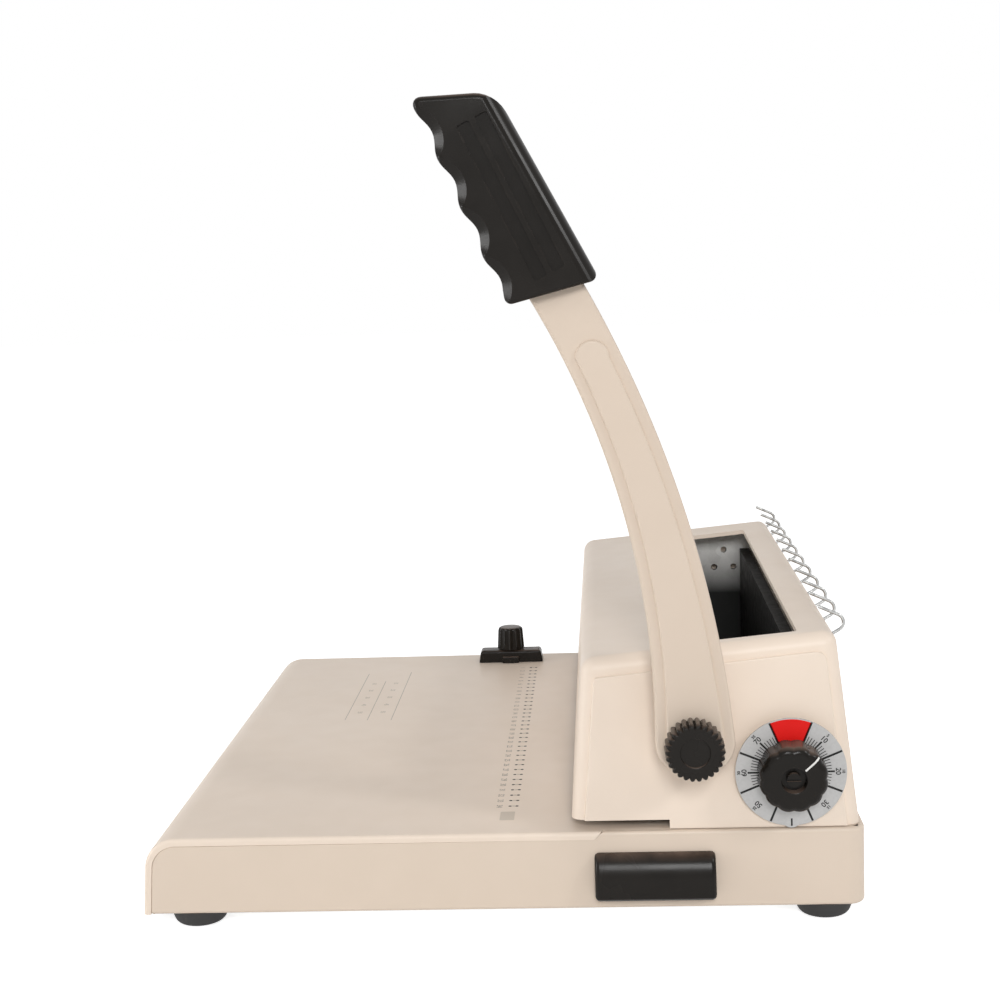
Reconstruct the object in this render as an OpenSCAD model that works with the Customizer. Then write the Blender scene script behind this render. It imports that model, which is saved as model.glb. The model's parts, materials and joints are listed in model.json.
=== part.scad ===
// Desk-top punch and wire-closing book binding machine, in millimetres.
// The front is -Y, the lever is on the +X side, and the feet stand on Z = 0.
// Depths are measured from a zero line across the table, and the base is drawn round what it carries.

/* [Punching] */
// Number of punches in the row
punch_count = 34; // [20:1:40]
// Distance from one punch to the next
punch_pitch = 8.467; // [7:0.001:12.7]
// Side of one square punch
punch_side = 4; // [3:0.1:5]
// Distance of the punch line behind the zero line
punch_y = 60; // [56:1:64]
// Height of the throat that the paper goes into
throat_h = 4.6; // [4.5:0.1:6]
// Gap between a punch and its hole in the die
die_gap = 0.05; // [0.02:0.01:0.1]
// Thickness of the die plate below the table
die_t = 5; // [4:0.5:6]
// Thickness of the stripper plate above the throat
stripper_t = 5; // [4:0.5:7]

/* [Base] */
// Distance from the last punch to the side of the base
side_margin = 40.3; // [38:0.1:60]
// Depth of the base, front to rear
base_d = 340; // [330:1:400]
// Height of the base from its lower edge to the table
base_h = 37; // [34:0.5:50]
// Wall thickness of the base tray
base_wall = 3; // [2:0.5:4]
// Corner radius of the base, seen from above
corner_r = 14; // [6:1:18]
// Thickness of the table top
table_t = 3.5; // [3:0.5:5]
// Rounding of the table's upper edge
table_edge_r = 2.5; // [1:0.5:2.5]
// Thickness of the bottom plate
bottom_t = 2; // [1.5:0.5:3]

/* [Feet] */
// Diameter of a rubber foot
foot_d = 26; // [20:1:28]
// Height of a rubber foot
foot_h = 8; // [6:0.5:12]
// Distance of a foot from the side of the base
foot_side = 15; // [14.5:0.5:20]
// Distance of the front feet from the front of the base
foot_front = 24; // [20:1:40]
// Distance of the rear feet from the rear of the base
foot_rear = 18; // [15:1:24]

/* [Cover] */
// Distance from the side of the base to the cover
cover_side = 4; // [2:0.5:5]
// Distance of the cover's front lower edge behind the zero line
cover_front = 34; // [30:1:36]
// Distance from the rear of the base to the cover
cover_rear = 2; // [1:0.5:4]
// Height of the cover's front upper edge above the table
cover_front_h = 79; // [77:1:90]
// Height of the cover's rear upper edge above the table
cover_rear_h = 89.6; // [88:0.5:100]
// Lean of the cover's sides, in degrees
side_lean = 6.7; // [3:0.1:7]
// Lean of the cover's front, in degrees
front_lean = 5; // [2:0.1:6]
// Lean of the cover's rear, in degrees
rear_lean = 5.7; // [2:0.1:6]
// Wall thickness of the cover
cover_wall = 2.5; // [2:0.1:3]
// Rounding of the cover's edges
cover_edge_r = 6; // [5:0.5:8]
// How far the side panels stand proud
panel_rise = 1.5; // [0.8:0.1:2]
// Border left around a side panel
panel_border = 6; // [4:0.5:10]
// Front edge of the window behind the zero line
window_front = 100; // [96:1:108]
// Rear edge of the window behind the zero line
window_rear = 142; // [138:1:144]
// Distance from the window to the cover's rear lower edge
rear_margin = 26; // [24:1:32]
// Distance of the window from the left side of the base
window_left = 46.4; // [40:0.2:70]
// Distance of the window from the right side of the base
window_right = 23.6; // [23:0.2:40]

/* [Drive] */
// Height of the cross shaft above the table
shaft_rise = 45; // [44:0.5:47]
// Diameter of the cross shaft
shaft_d = 12; // [10:0.5:13]
// Module of the pinions and racks
gear_module = 2; // [1.8:0.1:2]
// Pressure angle of the teeth, in degrees
pressure_angle = 25; // [24:0.5:27]
// Play left between the teeth
backlash = 0.3; // [0.2:0.05:0.4]
// Running gap of shafts and posts, on the radius
run_gap = 0.05; // [0.02:0.01:0.1]
// Full swing of the lever, in degrees
lever_swing = 70; // [60:1:70]

/* [Lever] */
// Thickness of the lever arm
lever_t = 8; // [6:0.5:10]
// Gap from the side of the base to the lever arm
lever_gap = 4; // [3:0.5:10]
// Diameter of the lever's foot around the shaft
hub_d = 37; // [32:1:40]
// Height of the arm above the shaft, up to the grip
lever_rise = 200; // [160:1:240]
// How far the arm reaches forward at the grip
lever_reach = 52.7; // [30:0.1:70]
// Width of the arm at the grip
lever_top_w = 27; // [22:0.5:32]
// Radius of the arm's front edge
lever_front_r = 387; // [300:1:600]
// Radius of the arm's rear edge
lever_rear_r = 538; // [400:1:800]
// Border beside the raised rib
rib_border = 5; // [3:0.5:7]
// How far the rib stands proud
rib_rise = 1.5; // [0.8:0.1:3]
// Lean of the grip, in degrees
grip_lean = 25.3; // [15:0.1:35]
// Length of the grip along its front
grip_l = 98; // [90:1:120]
// Width of the grip at its lower end
grip_w = 41.4; // [36:0.2:48]
// Width of the grip at its upper end
grip_top_w = 34; // [30:0.5:40]
// Thickness of the grip
grip_t = 27; // [20:0.5:30]
// Number of finger grooves
finger_count = 4; // [3:1:5]
// Depth of a finger groove
finger_depth = 2.2; // [1:0.1:3]
// Diameter of the clamp knob
clamp_d = 27; // [22:0.5:32]
// Height of the clamp knob
clamp_h = 13; // [10:0.5:16]
// Number of scallops on the clamp knob
clamp_scallops = 24; // [12:1:30]

/* [Dial] */
// Distance of the dial behind the cross shaft
dial_back = 45; // [44:0.5:48]
// Height of the dial above the table
dial_rise = 27; // [26.5:0.5:30]
// Diameter of the dial plate
dial_d = 51; // [40:0.5:51]
// Diameter of the dial knob
dial_knob_d = 32; // [26:0.5:36]
// Height of the dial knob
dial_knob_h = 13; // [10:0.5:16]
// Number of flutes on the dial knob
dial_flutes = 12; // [8:1:16]
// Diameter of the dial spindle
spindle_d = 8; // [6:0.5:9]
// Smallest radius of the stop cam
cam_low_r = 8; // [7:0.1:8.2]
// Rise of the stop cam over its whole turn
cam_rise = 6; // [3:0.5:6]

/* [Chip drawer] */
// Width of the chip tray
tray_w = 50; // [44:1:54]
// Height of the chip tray
tray_h = 22; // [16:0.5:22]
// Wall thickness of the chip tray
tray_wall = 1.5; // [1:0.1:2]
// Distance of the tray's middle behind the zero line
tray_y = 72.6; // [68:0.2:76]
// Width of the drawer pull
pull_w = 56; // [56:1:64]
// Height of the drawer pull
pull_h = 21; // [18:0.5:24]
// How far the pull stands out
pull_t = 8; // [6:0.5:12]

/* [Edge guide] */
// Distance of the guide from the left side of the base
guide_side = 19; // [16:0.5:30]
// Distance of the guide's middle in front of the zero line
guide_front = 10; // [6:1:40]
// Length of the guide bar, front to rear
guide_l = 42; // [34:1:50]
// Width of the guide bar
guide_w = 12; // [10:0.5:16]
// Height of the guide bar
guide_h = 7.7; // [6:0.1:10]
// Diameter of the guide knob
guide_knob_d = 17; // [14:0.5:20]
// Height of the guide knob
guide_knob_h = 14; // [10:0.5:18]
// Travel of the guide to either side
guide_travel = 5; // [3:0.5:5]

/* [Wire hooks] */
// Number of hooks
hook_count = 11; // [5:1:13]
// Distance of the last hook from the side of the base
hook_end = 25; // [25:0.5:60]
// Thickness of a hook, which is square in section
hook_t = 1.6; // [1.2:0.1:2]
// Radius of the bend at the middle of a hook
hook_bend_r = 4; // [3.5:0.1:5]
// Straight length outside the cover
hook_leg = 4; // [2:0.5:6]
// Straight length after the bend
hook_tip = 10; // [6:0.5:14]
// Direction in which a hook leaves the cover, in degrees above level
hook_out = 30; // [20:1:45]
// Direction of the tip, in degrees above level
hook_back = 156; // [130:1:165]

/* [Hidden] */
$fn = 48;

// Colours
cream = "#e3d5c4";
black = "#262523";
steel = "#9aa0a4";
bright = "#c4c8ca";
dark_steel = "#4a4d50";
bronze = "#b08d57";
rubber = "#1d1d1d";
silver = "#b4b6b8";

// Small gaps between pieces
seat_gap = 0.3;
fit_gap = 0.05;
part_gap = 1;
screw_d = 4;
screw_head_d = 7;
screw_head_h = 2.4;
screw_grip = 8;
past = 1;
fine_fn = 360;

// Heights
table_z = foot_h + base_h;
seam_z = table_z - table_t;
floor_z = foot_h + bottom_t;
throat_z = table_z + throat_h;
stripper_z = throat_z + stripper_t;

// Depths of the base and the cover, worked out from the window
cover_back = window_rear + rear_margin;
base_back = cover_back + cover_rear;
middle_y = base_back - base_d / 2;
foot_rows = [base_back - base_d + foot_front, base_back - foot_rear];

// Widths, worked out from the row of punches
punch_half = (punch_count - 1) * punch_pitch / 2;
base_half = punch_half + side_margin;
base_w = 2 * base_half;
cover_half = base_half - cover_side;
frame_t = 4;
frame_clear = 10;
frame_out = cover_half - frame_clear - frame_t;
frame_in = frame_out - frame_t;
span_half = frame_in - fit_gap;

// Gears, with a number of teeth that four divides
pinion_teeth = 12;
pitch_r = gear_module * pinion_teeth / 2;
tooth_pitch = PI * gear_module;
addendum = 0.9 * gear_module;
dedendum = 1.15 * gear_module;
stroke = pitch_r * lever_swing * PI / 180;
tooth_reach = addendum / tan(pressure_angle) + 0.5;

// Press bar and its racks
bar_half = frame_in - 1.5;
bar_front = punch_y - 9;
bar_back = punch_y + 9;
bar_h = 20;
rack_back_t = 10 - dedendum;
rack_line = bar_back + 10;
post_x = frame_in - 7.5;
post_d = 8;
spring_d = 11.6;
spring_bore = 9;

// Cross shaft
shaft_y = rack_line + pitch_r;
shaft_z = table_z + shaft_rise;
pinion_out = frame_in - 8;
rack_w = 10;
rack_apart = 2;
pinion_w = 2 * rack_w + rack_apart + 2;
press_rack_in = pinion_out - pinion_w + 1;
closer_rack_in = press_rack_in + rack_w + rack_apart;

// Heights of the press bar at rest
punch_tip_z = throat_z + 1;
bar_z = shaft_z - 14;
bar_top = bar_z + bar_h;
retainer_t = 6;
retainer_z = bar_z - retainer_t;
press_rack_top = shaft_z + stroke + tooth_reach + 1;

// Closing bar and the cavity under the window
closer_line = shaft_z - pitch_r;
closer_rack_h = 10;
closer_rack_z = closer_line - closer_rack_h;
closer_rack_front = shaft_y - stroke - tooth_reach - 0.5;
closer_front = shaft_y + 15;
closer_bar_t = 12;
closer_half = frame_in - 6;
closer_top = closer_line + 1;
floor_t = 3;
tie_rise = 24;
closer_floor_z = table_z + 8;
closer_z = closer_floor_z + floor_t + seat_gap;
anvil_front = window_rear - 1;
anvil_t = 6;
anvil_below = 6;
anvil_top = table_z + cover_front_h - anvil_below;

// Dial
dial_y = shaft_y + dial_back;
dial_z = table_z + dial_rise;
dial_x = cover_half + 2;
dial_t = 1;
dial_tab = 1;
knob_gap = 0.6;
dial_knob_x = dial_x + dial_t + knob_gap;
cam_t = 4;
cam_x = closer_half + part_gap;
stop_pin_d = 6;
stop_pin_y = closer_front + 3;
cover_boss_d = 40;

// Cover
bottom_edge_r = cover_edge_r + 2;
notch_y = cover_front + 46;
front_top = [cover_front + cover_front_h * tan(front_lean), table_z + cover_front_h];
rear_top = [cover_back - cover_rear_h * tan(rear_lean), table_z + cover_rear_h];
top_slope = atan2(rear_top[1] - front_top[1], rear_top[0] - front_top[0]);
front_edge = [front_top[0] + cover_edge_r, top_at(front_top[0] + cover_edge_r) - cover_edge_r / cos(top_slope)];
rear_edge = [rear_top[0] - cover_edge_r, top_at(rear_top[0] - cover_edge_r) - cover_edge_r / cos(top_slope)];
hook_pitch = 2 * (base_half - hook_end) / (hook_count - 1);
hook_length = cover_edge_r + hook_leg;
hook_bend = polar(hook_length, hook_out) + polar(hook_bend_r, hook_out + 90);
window_x0 = window_left - base_half;
window_x1 = base_half - window_right;
frame_front = cover_front + 14;
frame_back = rear_edge[0] + 1;
frame_top_gap = cover_wall + 2;

// Lever
lever_x = base_half + lever_gap;
lever_out = lever_x + lever_t;
lever_mid = lever_x + lever_t / 2;
hub_x = cover_half - 0.5;
hub_boss_d = 30;
knob_x = lever_out + rib_rise + knob_gap;
stud_d = 8;
stud_l = 9;
clamp_face = knob_x + clamp_h;
grip_seat = [-lever_reach, lever_rise];
tang_w = 16;
tang_t = 5;
tang_l = 72;
front_low = [-hub_d / 2 + 0.6, 18];
front_high = [-lever_reach - lever_top_w / 2, lever_rise];
rear_low = [hub_d / 2 - 0.3, 8];
rear_high = [-lever_reach + lever_top_w / 2, lever_rise];
front_c = arc_centre(front_low, front_high, lever_front_r);
rear_c = arc_centre(rear_low, rear_high, lever_rear_r);
rib_top = lever_rise - 14;

// Drawer
tray_x0 = -punch_half - 8;
tray_x1 = base_half + seat_gap;
tray_z = floor_z + seat_gap;
pull_z = floor_z + 4.4;
rail_t = 3;
rail_h = 6;
mouth_gap = 0.5;

// Guide
guide_x = guide_side - base_half;
guide_z = table_z + seat_gap;
guide_top = guide_z + guide_h;
guide_stud_d = 5;
guide_nut_h = 4;
guide_knob_z = guide_top + knob_gap;

// Middle of the whole width, which the part's own origin takes
middle_x = (clamp_face - base_half) / 2;

// Place of punch number i along the row
function punch_x(i) = (i - (punch_count - 1) / 2) * punch_pitch;

// Height of the cover's sloping top at a depth y
function top_at(y) = front_top[1] + (y - front_top[0]) * tan(top_slope);

// Place of the cover's side, front and rear at a height z
function side_at(z) = cover_half - (z - table_z) * tan(side_lean);
function front_at(z) = cover_front + (z - table_z) * tan(front_lean);
function rear_at(z) = cover_back - (z - table_z) * tan(rear_lean);

// Centre of an arc of radius r from a up to b that bulges to the rear
function arc_centre(a, b, r) = let (d = b - a, h = norm(d) / 2)
    (a + b) / 2 + [-d[1], d[0]] / norm(d) * sqrt(r * r - h * h);

// A polygon's corner i rounded to the radius r
function unit(v) = v / norm(v);
function corner_arc(p, a, b, r, n = 6) = let (
    u = unit(a - p),
    w = unit(b - p),
    half = acos(u * w) / 2,
    c = p + unit(u + w) * r / sin(half),
    s = p + u * r / tan(half) - c,
    e = p + w * r / tan(half) - c,
    a0 = atan2(s[1], s[0]),
    turn = atan2(s[0] * e[1] - s[1] * e[0], s * e))
    [for (i = [0:n]) c + r * [cos(a0 + turn * i / n), sin(a0 + turn * i / n)]];
function rounded(points, radii) = let (k = len(points))
    [for (i = [0:k - 1])
        each radii[i] > 0
            ? corner_arc(points[i], points[(i + k - 1) % k], points[(i + 1) % k], radii[i])
            : [points[i]]];

// Involute tooth outline of a pinion
function involute(a) = tan(a) * 180 / PI - a;
function tooth_half(r) = let (base_r = pitch_r * cos(pressure_angle))
    (tooth_pitch - backlash) / 4 / pitch_r * 180 / PI + involute(pressure_angle)
    - involute(acos(min(1, base_r / max(r, base_r))));
function tooth_points(centre, root_r, tip_r, n = 6) = concat(
    [for (i = [0:n]) let (r = root_r + (tip_r - root_r) * i / n) polar(r, centre - tooth_half(r))],
    [for (i = [0:n]) let (r = tip_r - (tip_r - root_r) * i / n) polar(r, centre + tooth_half(r))]);
function polar(r, a) = [r * cos(a), r * sin(a)];

// Radius of the stop cam at s degrees past the low stretch
function cam_r(s) = cam_low_r + cam_rise * max(0, min(1, (s - 20) / 250));

// Box between two corners
module block(low, high) {
    translate(low) cube(high - low);
}

// Round bar along X or Z
module rod_x(d, x0, x1, y, z) {
    translate([x0, y, z]) rotate([0, 90, 0]) cylinder(d = d, h = x1 - x0);
}
module rod_z(d, z0, z1, x, y) {
    translate([x, y, z0]) cylinder(d = d, h = z1 - z0);
}

// Drawn on the right and again on the left
module both_sides() {
    children();
    mirror([1, 0, 0]) children();
}

// Flat outline with its x along Y and its y along Z, drawn out from x0 to x1
module slab_x(x0, x1, y = 0, z = 0) {
    translate([x0, y, z]) rotate([90, 0, 90]) linear_extrude(x1 - x0) children();
}

module rounded_rect(w, d, r) {
    square([w - 2 * r, d], center = true);
    square([w, d - 2 * r], center = true);
    for (x = [-1, 1], y = [-1, 1]) translate([x * (w / 2 - r), y * (d / 2 - r)]) circle(r = r);
}

// Outline of the base, drawn in by an inset
module base_outline(inset = 0) {
    translate([0, middle_y]) rounded_rect(base_w - 2 * inset, base_d - 2 * inset, corner_r - inset);
}

// The four places of the feet
module at_feet() {
    for (x = [-1, 1], y = foot_rows)
        translate([x * (base_half - foot_side), y, 0]) children();
}

// Socket screw down from the seat of its head, and its hole
module screw(grip = screw_grip) {
    translate([0, 0, -grip]) cylinder(d = screw_d, h = grip);
    difference() {
        cylinder(d = screw_head_d, h = screw_head_h);
        translate([0, 0, 1]) cylinder(d = 3.4, h = screw_head_h, $fn = 6);
    }
}
module screw_hole(grip = screw_grip, gap = fit_gap) {
    translate([0, 0, -grip - past]) cylinder(d = screw_d + 2 * gap, h = grip + 2 * past + screw_head_h);
}

// Places of the frame screws on the right frame's outer face
frame_screw_points = [
    [punch_y - 3, throat_z + stripper_t / 2],
    [punch_y + 10, throat_z + stripper_t / 2],
    [closer_front + 6, closer_floor_z + floor_t / 2],
    [window_rear - 5, closer_floor_z + floor_t / 2],
    [shaft_y + 5, shaft_z + tie_rise],
    [anvil_front + anvil_t + 3, shaft_z + 15]
];
module at_frame_screws() {
    for (p = frame_screw_points) translate([frame_out, p[0], p[1]]) rotate([0, 90, 0]) children();
}
module frame_screw_holes() {
    both_sides() at_frame_screws() screw_hole();
}

module at_die_screws() {
    for (x = [-1, 1], y = [punch_y - 8, punch_y + 13])
        translate([x * (punch_half + 8), y, table_z]) children();
}

module base_tray() {
    boss_d = 12;
    color(cream) difference() {
        union() {
            translate([0, 0, foot_h]) linear_extrude(seam_z - foot_h) difference() {
                base_outline();
                base_outline(base_wall);
            }
            at_feet() translate([0, 0, floor_z]) cylinder(d = boss_d, h = seam_z - floor_z);
            for (x = [-1, 1], y = foot_rows)
                translate([x > 0 ? base_half - foot_side : base_wall / 2 - base_half, y - 1.5, floor_z])
                    cube([foot_side - base_wall / 2, 3, seam_z - floor_z]);
        }
        at_feet() translate([0, 0, floor_z - past]) cylinder(d = screw_d + 2 * fit_gap, h = 18);
        block([base_half - 2 * base_wall, tray_y - tray_w / 2 - mouth_gap, tray_z - mouth_gap],
              [base_half + past, tray_y + tray_w / 2 + mouth_gap, tray_z + tray_h + mouth_gap]);
    }
}

module bottom_plate() {
    gap = base_wall + 0.2;
    color(steel) translate([0, 0, foot_h]) linear_extrude(bottom_t) difference() {
        base_outline(gap);
        at_feet() circle(d = screw_d + 0.4);
    }
}

module table_top() {
    inset = corner_r;
    color(cream) difference() {
        union() {
            translate([0, 0, seam_z]) linear_extrude(table_t - table_edge_r) base_outline();
            translate([0, middle_y, table_z - table_edge_r]) hull() {
                for (x = [-1, 1], y = [-1, 1])
                    translate([x * (base_half - inset), y * (base_d / 2 - inset), 0])
                        rotate_extrude($fn = 32) intersection() {
                            union() {
                                square([corner_r - table_edge_r, table_edge_r]);
                                translate([corner_r - table_edge_r, 0]) circle(r = table_edge_r, $fn = 32);
                            }
                            square([corner_r, table_edge_r]);
                        }
            }
        }
        die_land(fit_gap);
        at_die_screws() screw_hole(table_t + 2, 0.2);
        guide_slot();
    }
}

// The die's raised land, which fills a slot in the table
module die_land(gap = 0) {
    block([-punch_half - 6 - gap, punch_y - 4 - gap, seam_z - past],
          [punch_half + 6 + gap, punch_y + 4 + gap, table_z + (gap > 0 ? past : 0)]);
}

module guide_slot() {
    hull() for (s = [-1, 1])
        rod_z(guide_stud_d + 2 * seat_gap, seam_z - past, table_z + past,
              guide_x + s * (guide_travel + 0.5), -guide_front);
}

module feet() {
    color(rubber) at_feet() difference() {
        rotate_extrude() polygon([
            [0, 0], [foot_d / 2 - 2, 0], [foot_d / 2 - 0.8, 0.8], [foot_d / 2, foot_h], [0, foot_h]]);
        translate([0, 0, -past]) cylinder(d = 10, h = past + 5);
        cylinder(d = screw_d + 0.4, h = foot_h + past);
    }
}

module foot_screws() {
    color(bright) at_feet() {
        translate([0, 0, 5 - 2.6]) cylinder(d = 8.5, h = 2.6);
        translate([0, 0, 5]) cylinder(d = screw_d, h = floor_z + 14 - 5);
    }
}

module drawer_rails() {
    near = tray_w / 2 + seat_gap;
    color(steel) for (s = [-1, 1])
        translate([0, tray_y + s * (near + rail_t / 2), 0])
            block([tray_x0, -rail_t / 2, floor_z], [base_half - base_wall - part_gap, rail_t / 2, floor_z + rail_h]);
}

module die_plate() {
    color(dark_steel) difference() {
        union() {
            block([-punch_half - 13, punch_y - 12, seam_z - die_t], [punch_half + 13, punch_y + 18, seam_z]);
            die_land();
        }
        punch_holes(die_gap, seam_z - die_t, table_z);
        at_die_screws() screw_hole(table_t + die_t - 1);
    }
}

module punch_holes(gap, z0, z1) {
    side = punch_side + 2 * gap;
    for (i = [0:punch_count - 1])
        translate([punch_x(i) - side / 2, punch_y - side / 2, z0 - past]) cube([side, side, z1 - z0 + 2 * past]);
}

module stripper_plate() {
    color(steel) difference() {
        block([-span_half, punch_y - 10, throat_z], [span_half, punch_y + 16, stripper_z]);
        punch_holes(2 * die_gap, throat_z, stripper_z);
        frame_screw_holes();
        both_sides() rod_z(post_d - 2 + 2 * fit_gap, throat_z - past, stripper_z + past, post_x, punch_y);
        at_die_screws() translate([0, 0, throat_h - past]) cylinder(d = screw_head_d + 1, h = stripper_t + 2 * past);
    }
}

module paper_stop() {
    color(steel) difference() {
        block([-punch_half - 12, punch_y + 9, table_z], [punch_half + 12, punch_y + 16, throat_z]);
        at_die_screws() screw_hole(table_t, 0.2);
    }
}

module die_screws() {
    color(bright) at_die_screws() translate([0, 0, -table_t - die_t + 1.2])
        cylinder(d = screw_d, h = table_t + die_t - 1.4);
}

// Outline of a side frame, open at the front for the throat
module frame_outline() {
    top_front = top_at(frame_front + 2) - frame_top_gap / cos(top_slope);
    top_back = top_at(frame_back) - frame_top_gap / cos(top_slope) - 2;
    polygon(rounded([
        [frame_front, throat_z], [notch_y, throat_z], [notch_y, table_z], [frame_back, table_z],
        [frame_back, top_back], [frame_front + 2, top_front]], [2, 0, 0, 0, 6, 8]));
}

module frame_plate() {
    difference() {
        union() {
            slab_x(frame_in, frame_out) frame_outline();
            block([frame_out, notch_y + 4, table_z], [frame_out + 8, frame_back - 2, table_z + 3]);
        }
        rod_x(shaft_d + 4 + 2 * fit_gap, frame_in - past, frame_out + past, shaft_y, shaft_z);
        at_frame_screws() screw_hole(screw_grip, 0.2);
        for (y = [notch_y + 12, frame_back - 12])
            rod_z(screw_d + 0.4, table_z - past, table_z + 3 + past, frame_out + 4, y);
    }
}

module left_frame() {
    hole_d = 4;
    hole_apart = 12.5;
    hole_y = window_rear - 11;
    hole_z = top_at(hole_y) - 27;
    color(bright) mirror([1, 0, 0]) difference() {
        frame_plate();
        for (p = [[-0.5, 0], [0.5, 0], [0, 0.9]])
            rod_x(hole_d, frame_in - past, frame_out + past, hole_y + p[0] * hole_apart, hole_z + p[1] * hole_apart);
    }
}

module right_frame() {
    color(bright) difference() {
        frame_plate();
        rod_x(spindle_d + 4 + 2 * fit_gap, frame_in - past, frame_out + past, dial_y, dial_z);
    }
}

module frame_screws() {
    color(bright) both_sides() {
        at_frame_screws() screw();
        for (y = [notch_y + 12, frame_back - 12])
            translate([frame_out + 4, y, table_z + 3]) {
                cylinder(d = screw_head_d, h = screw_head_h);
                translate([0, 0, -3 + fit_gap]) cylinder(d = screw_d, h = 3 - fit_gap);
            }
    }
}

module tie_bars() {
    tie = frame_screw_points[4];
    flat = frame_screw_points[5];
    color(steel) difference() {
        union() {
            rod_x(10, -span_half, span_half, tie[0], tie[1]);
            block([-span_half, flat[0] - 3, flat[1] - 6], [span_half, flat[0] + 3, flat[1] + 6]);
        }
        frame_screw_holes();
    }
}

module guide_posts() {
    color(bright) both_sides() {
        rod_z(post_d, stripper_z, bar_top + 12, post_x, punch_y);
        rod_z(post_d - 2, throat_z + 0.5, stripper_z, post_x, punch_y);
    }
}

module return_springs() {
    color(steel) both_sides() difference() {
        rod_z(spring_d, stripper_z, bar_z, post_x, punch_y);
        rod_z(spring_bore, stripper_z - past, bar_z + past, post_x, punch_y);
    }
}

module shaft_bushes() {
    color(bronze) both_sides() difference() {
        union() {
            rod_x(shaft_d + 4, frame_in - 2, frame_out, shaft_y, shaft_z);
            rod_x(shaft_d + 8, frame_in - 2, frame_in, shaft_y, shaft_z);
        }
        rod_x(shaft_d + 2 * run_gap, frame_in - 2 - past, frame_out + past, shaft_y, shaft_z);
    }
}

module rear_anvil() {
    color(black) block([-closer_half, anvil_front, closer_floor_z + floor_t],
                       [closer_half, anvil_front + anvil_t, anvil_top]);
}

module closer_floor() {
    color(dark_steel) difference() {
        block([-span_half, closer_front - 5, closer_floor_z],
              [span_half, anvil_front + anvil_t, closer_floor_z + floor_t]);
        frame_screw_holes();
    }
}

module rack_guides() {
    color(dark_steel) both_sides() block(
        [closer_rack_in, notch_y + 2, table_z],
        [closer_rack_in + rack_w, closer_front - 5 - part_gap, closer_rack_z - seat_gap]);
}

// The cover's outer form, or its inside when shrunk by a wall
module cover_form(wall, below) {
    r = cover_edge_r - wall;
    foot_r = bottom_edge_r - wall;
    hull() {
        for (x = [-1, 1]) {
            for (y = [cover_front + bottom_edge_r, cover_back - bottom_edge_r])
                translate([x * (cover_half - bottom_edge_r), y, table_z - below])
                    cylinder(r = foot_r, h = 0.1 + below, $fn = 32);
            for (p = [front_edge, rear_edge])
                translate([x * (side_at(p[1]) - cover_edge_r / cos(side_lean)), p[0], p[1]])
                    sphere(r = r, $fn = 32);
        }
    }
}

// Raised panel on a side, down past the cover's lower edge
module side_panel() {
    front = cover_front + panel_border;
    back = cover_back - panel_border;
    high_front = cover_front_h - panel_border - 2;
    high_back = cover_rear_h - panel_border - 2;
    translate([cover_half, 0, table_z]) rotate([0, -side_lean, 0]) slab_x(-1, panel_rise)
        polygon(rounded([
            [front, -2 * past], [back, -2 * past],
            [back - high_back * tan(rear_lean), high_back], [front + high_front * tan(front_lean), high_front]],
            [0, 0, 5, 2]));
}

// Cylinder square to the cover's rear face at a place along X
module at_cover_screws() {
    z = table_z + 10;
    for (x = [-0.75, -0.25, 0.25, 0.75])
        translate([x * cover_half, rear_at(z), z]) rotate([rear_lean - 90, 0, 0]) children();
}

module body_cover() {
    color(cream) difference() {
        union() {
            cover_form(0, past);
            both_sides() side_panel();
            rod_x(cover_boss_d, cover_half - 10, dial_x, dial_y, dial_z);
        }
        cover_form(cover_wall, 2 * past);
        block([-base_half, 0, 0], [base_half, notch_y, throat_z]);
        block([-base_half, 0, 0], [base_half, base_back, table_z]);
        block([window_x0, window_front, table_z + cover_front_h - 10],
              [window_x1, window_rear, table_z + cover_rear_h + 10]);
        rod_x(shaft_d + 8, 0, base_half, shaft_y, shaft_z);
        rod_x(spindle_d + 4, 0, base_half, dial_y, dial_z);
        at_hooks() hook_root(hook_t + seat_gap);
        at_cover_screws() translate([0, 0, -8]) cylinder(d = screw_d + 0.4, h = 12);
    }
}

module cover_bracket() {
    depth = 4;
    height = 17;
    top = table_z + height;
    back = rear_at(top) - cover_wall / cos(rear_lean) - seat_gap;
    color(steel) difference() {
        block([-0.8 * cover_half, back - depth, table_z], [0.8 * cover_half, back, top]);
        at_cover_screws() translate([0, 0, -12]) cylinder(d = screw_d + 2 * fit_gap, h = 14);
    }
}

module cover_screws() {
    color(bright) at_cover_screws() {
        translate([0, 0, fit_gap]) cylinder(d = screw_head_d + 1, h = screw_head_h);
        translate([0, 0, -8]) cylinder(d = screw_d, h = 8 + fit_gap);
    }
}

// Places of the hooks, each at the centre of the cover's rear rounding
module at_hooks() {
    for (i = [0:hook_count - 1])
        translate([(i - (hook_count - 1) / 2) * hook_pitch, rear_edge[0], rear_edge[1]]) children();
}

// Straight root of a hook, out of the rail and through the cover
module hook_root(w) {
    slab_x(-w / 2, w / 2) rotate(hook_out) translate([0, -w / 2]) square([hook_length, w]);
}

// One side of a hook's outline, at a radius from the middle of its bend
function hook_edge(r, steps = 8) = concat(
    [hook_bend + polar(r, hook_out - 90) - polar(hook_length, hook_out)],
    [for (i = [0:steps]) hook_bend + polar(r, hook_out - 90 + (hook_back - hook_out) * i / steps)],
    [hook_bend + polar(r, hook_back - 90) + polar(hook_tip, hook_back)]);
function reversed(points) = [for (i = [len(points) - 1:-1:0]) points[i]];

module hook_rail() {
    d = 2 * (cover_edge_r - cover_wall) - 0.4;
    half = base_half - hook_end + hook_t;
    color(steel) difference() {
        rod_x(d, -half, half, rear_edge[0], rear_edge[1]);
        at_hooks() hook_root(hook_t + 2 * fit_gap);
    }
}

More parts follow.
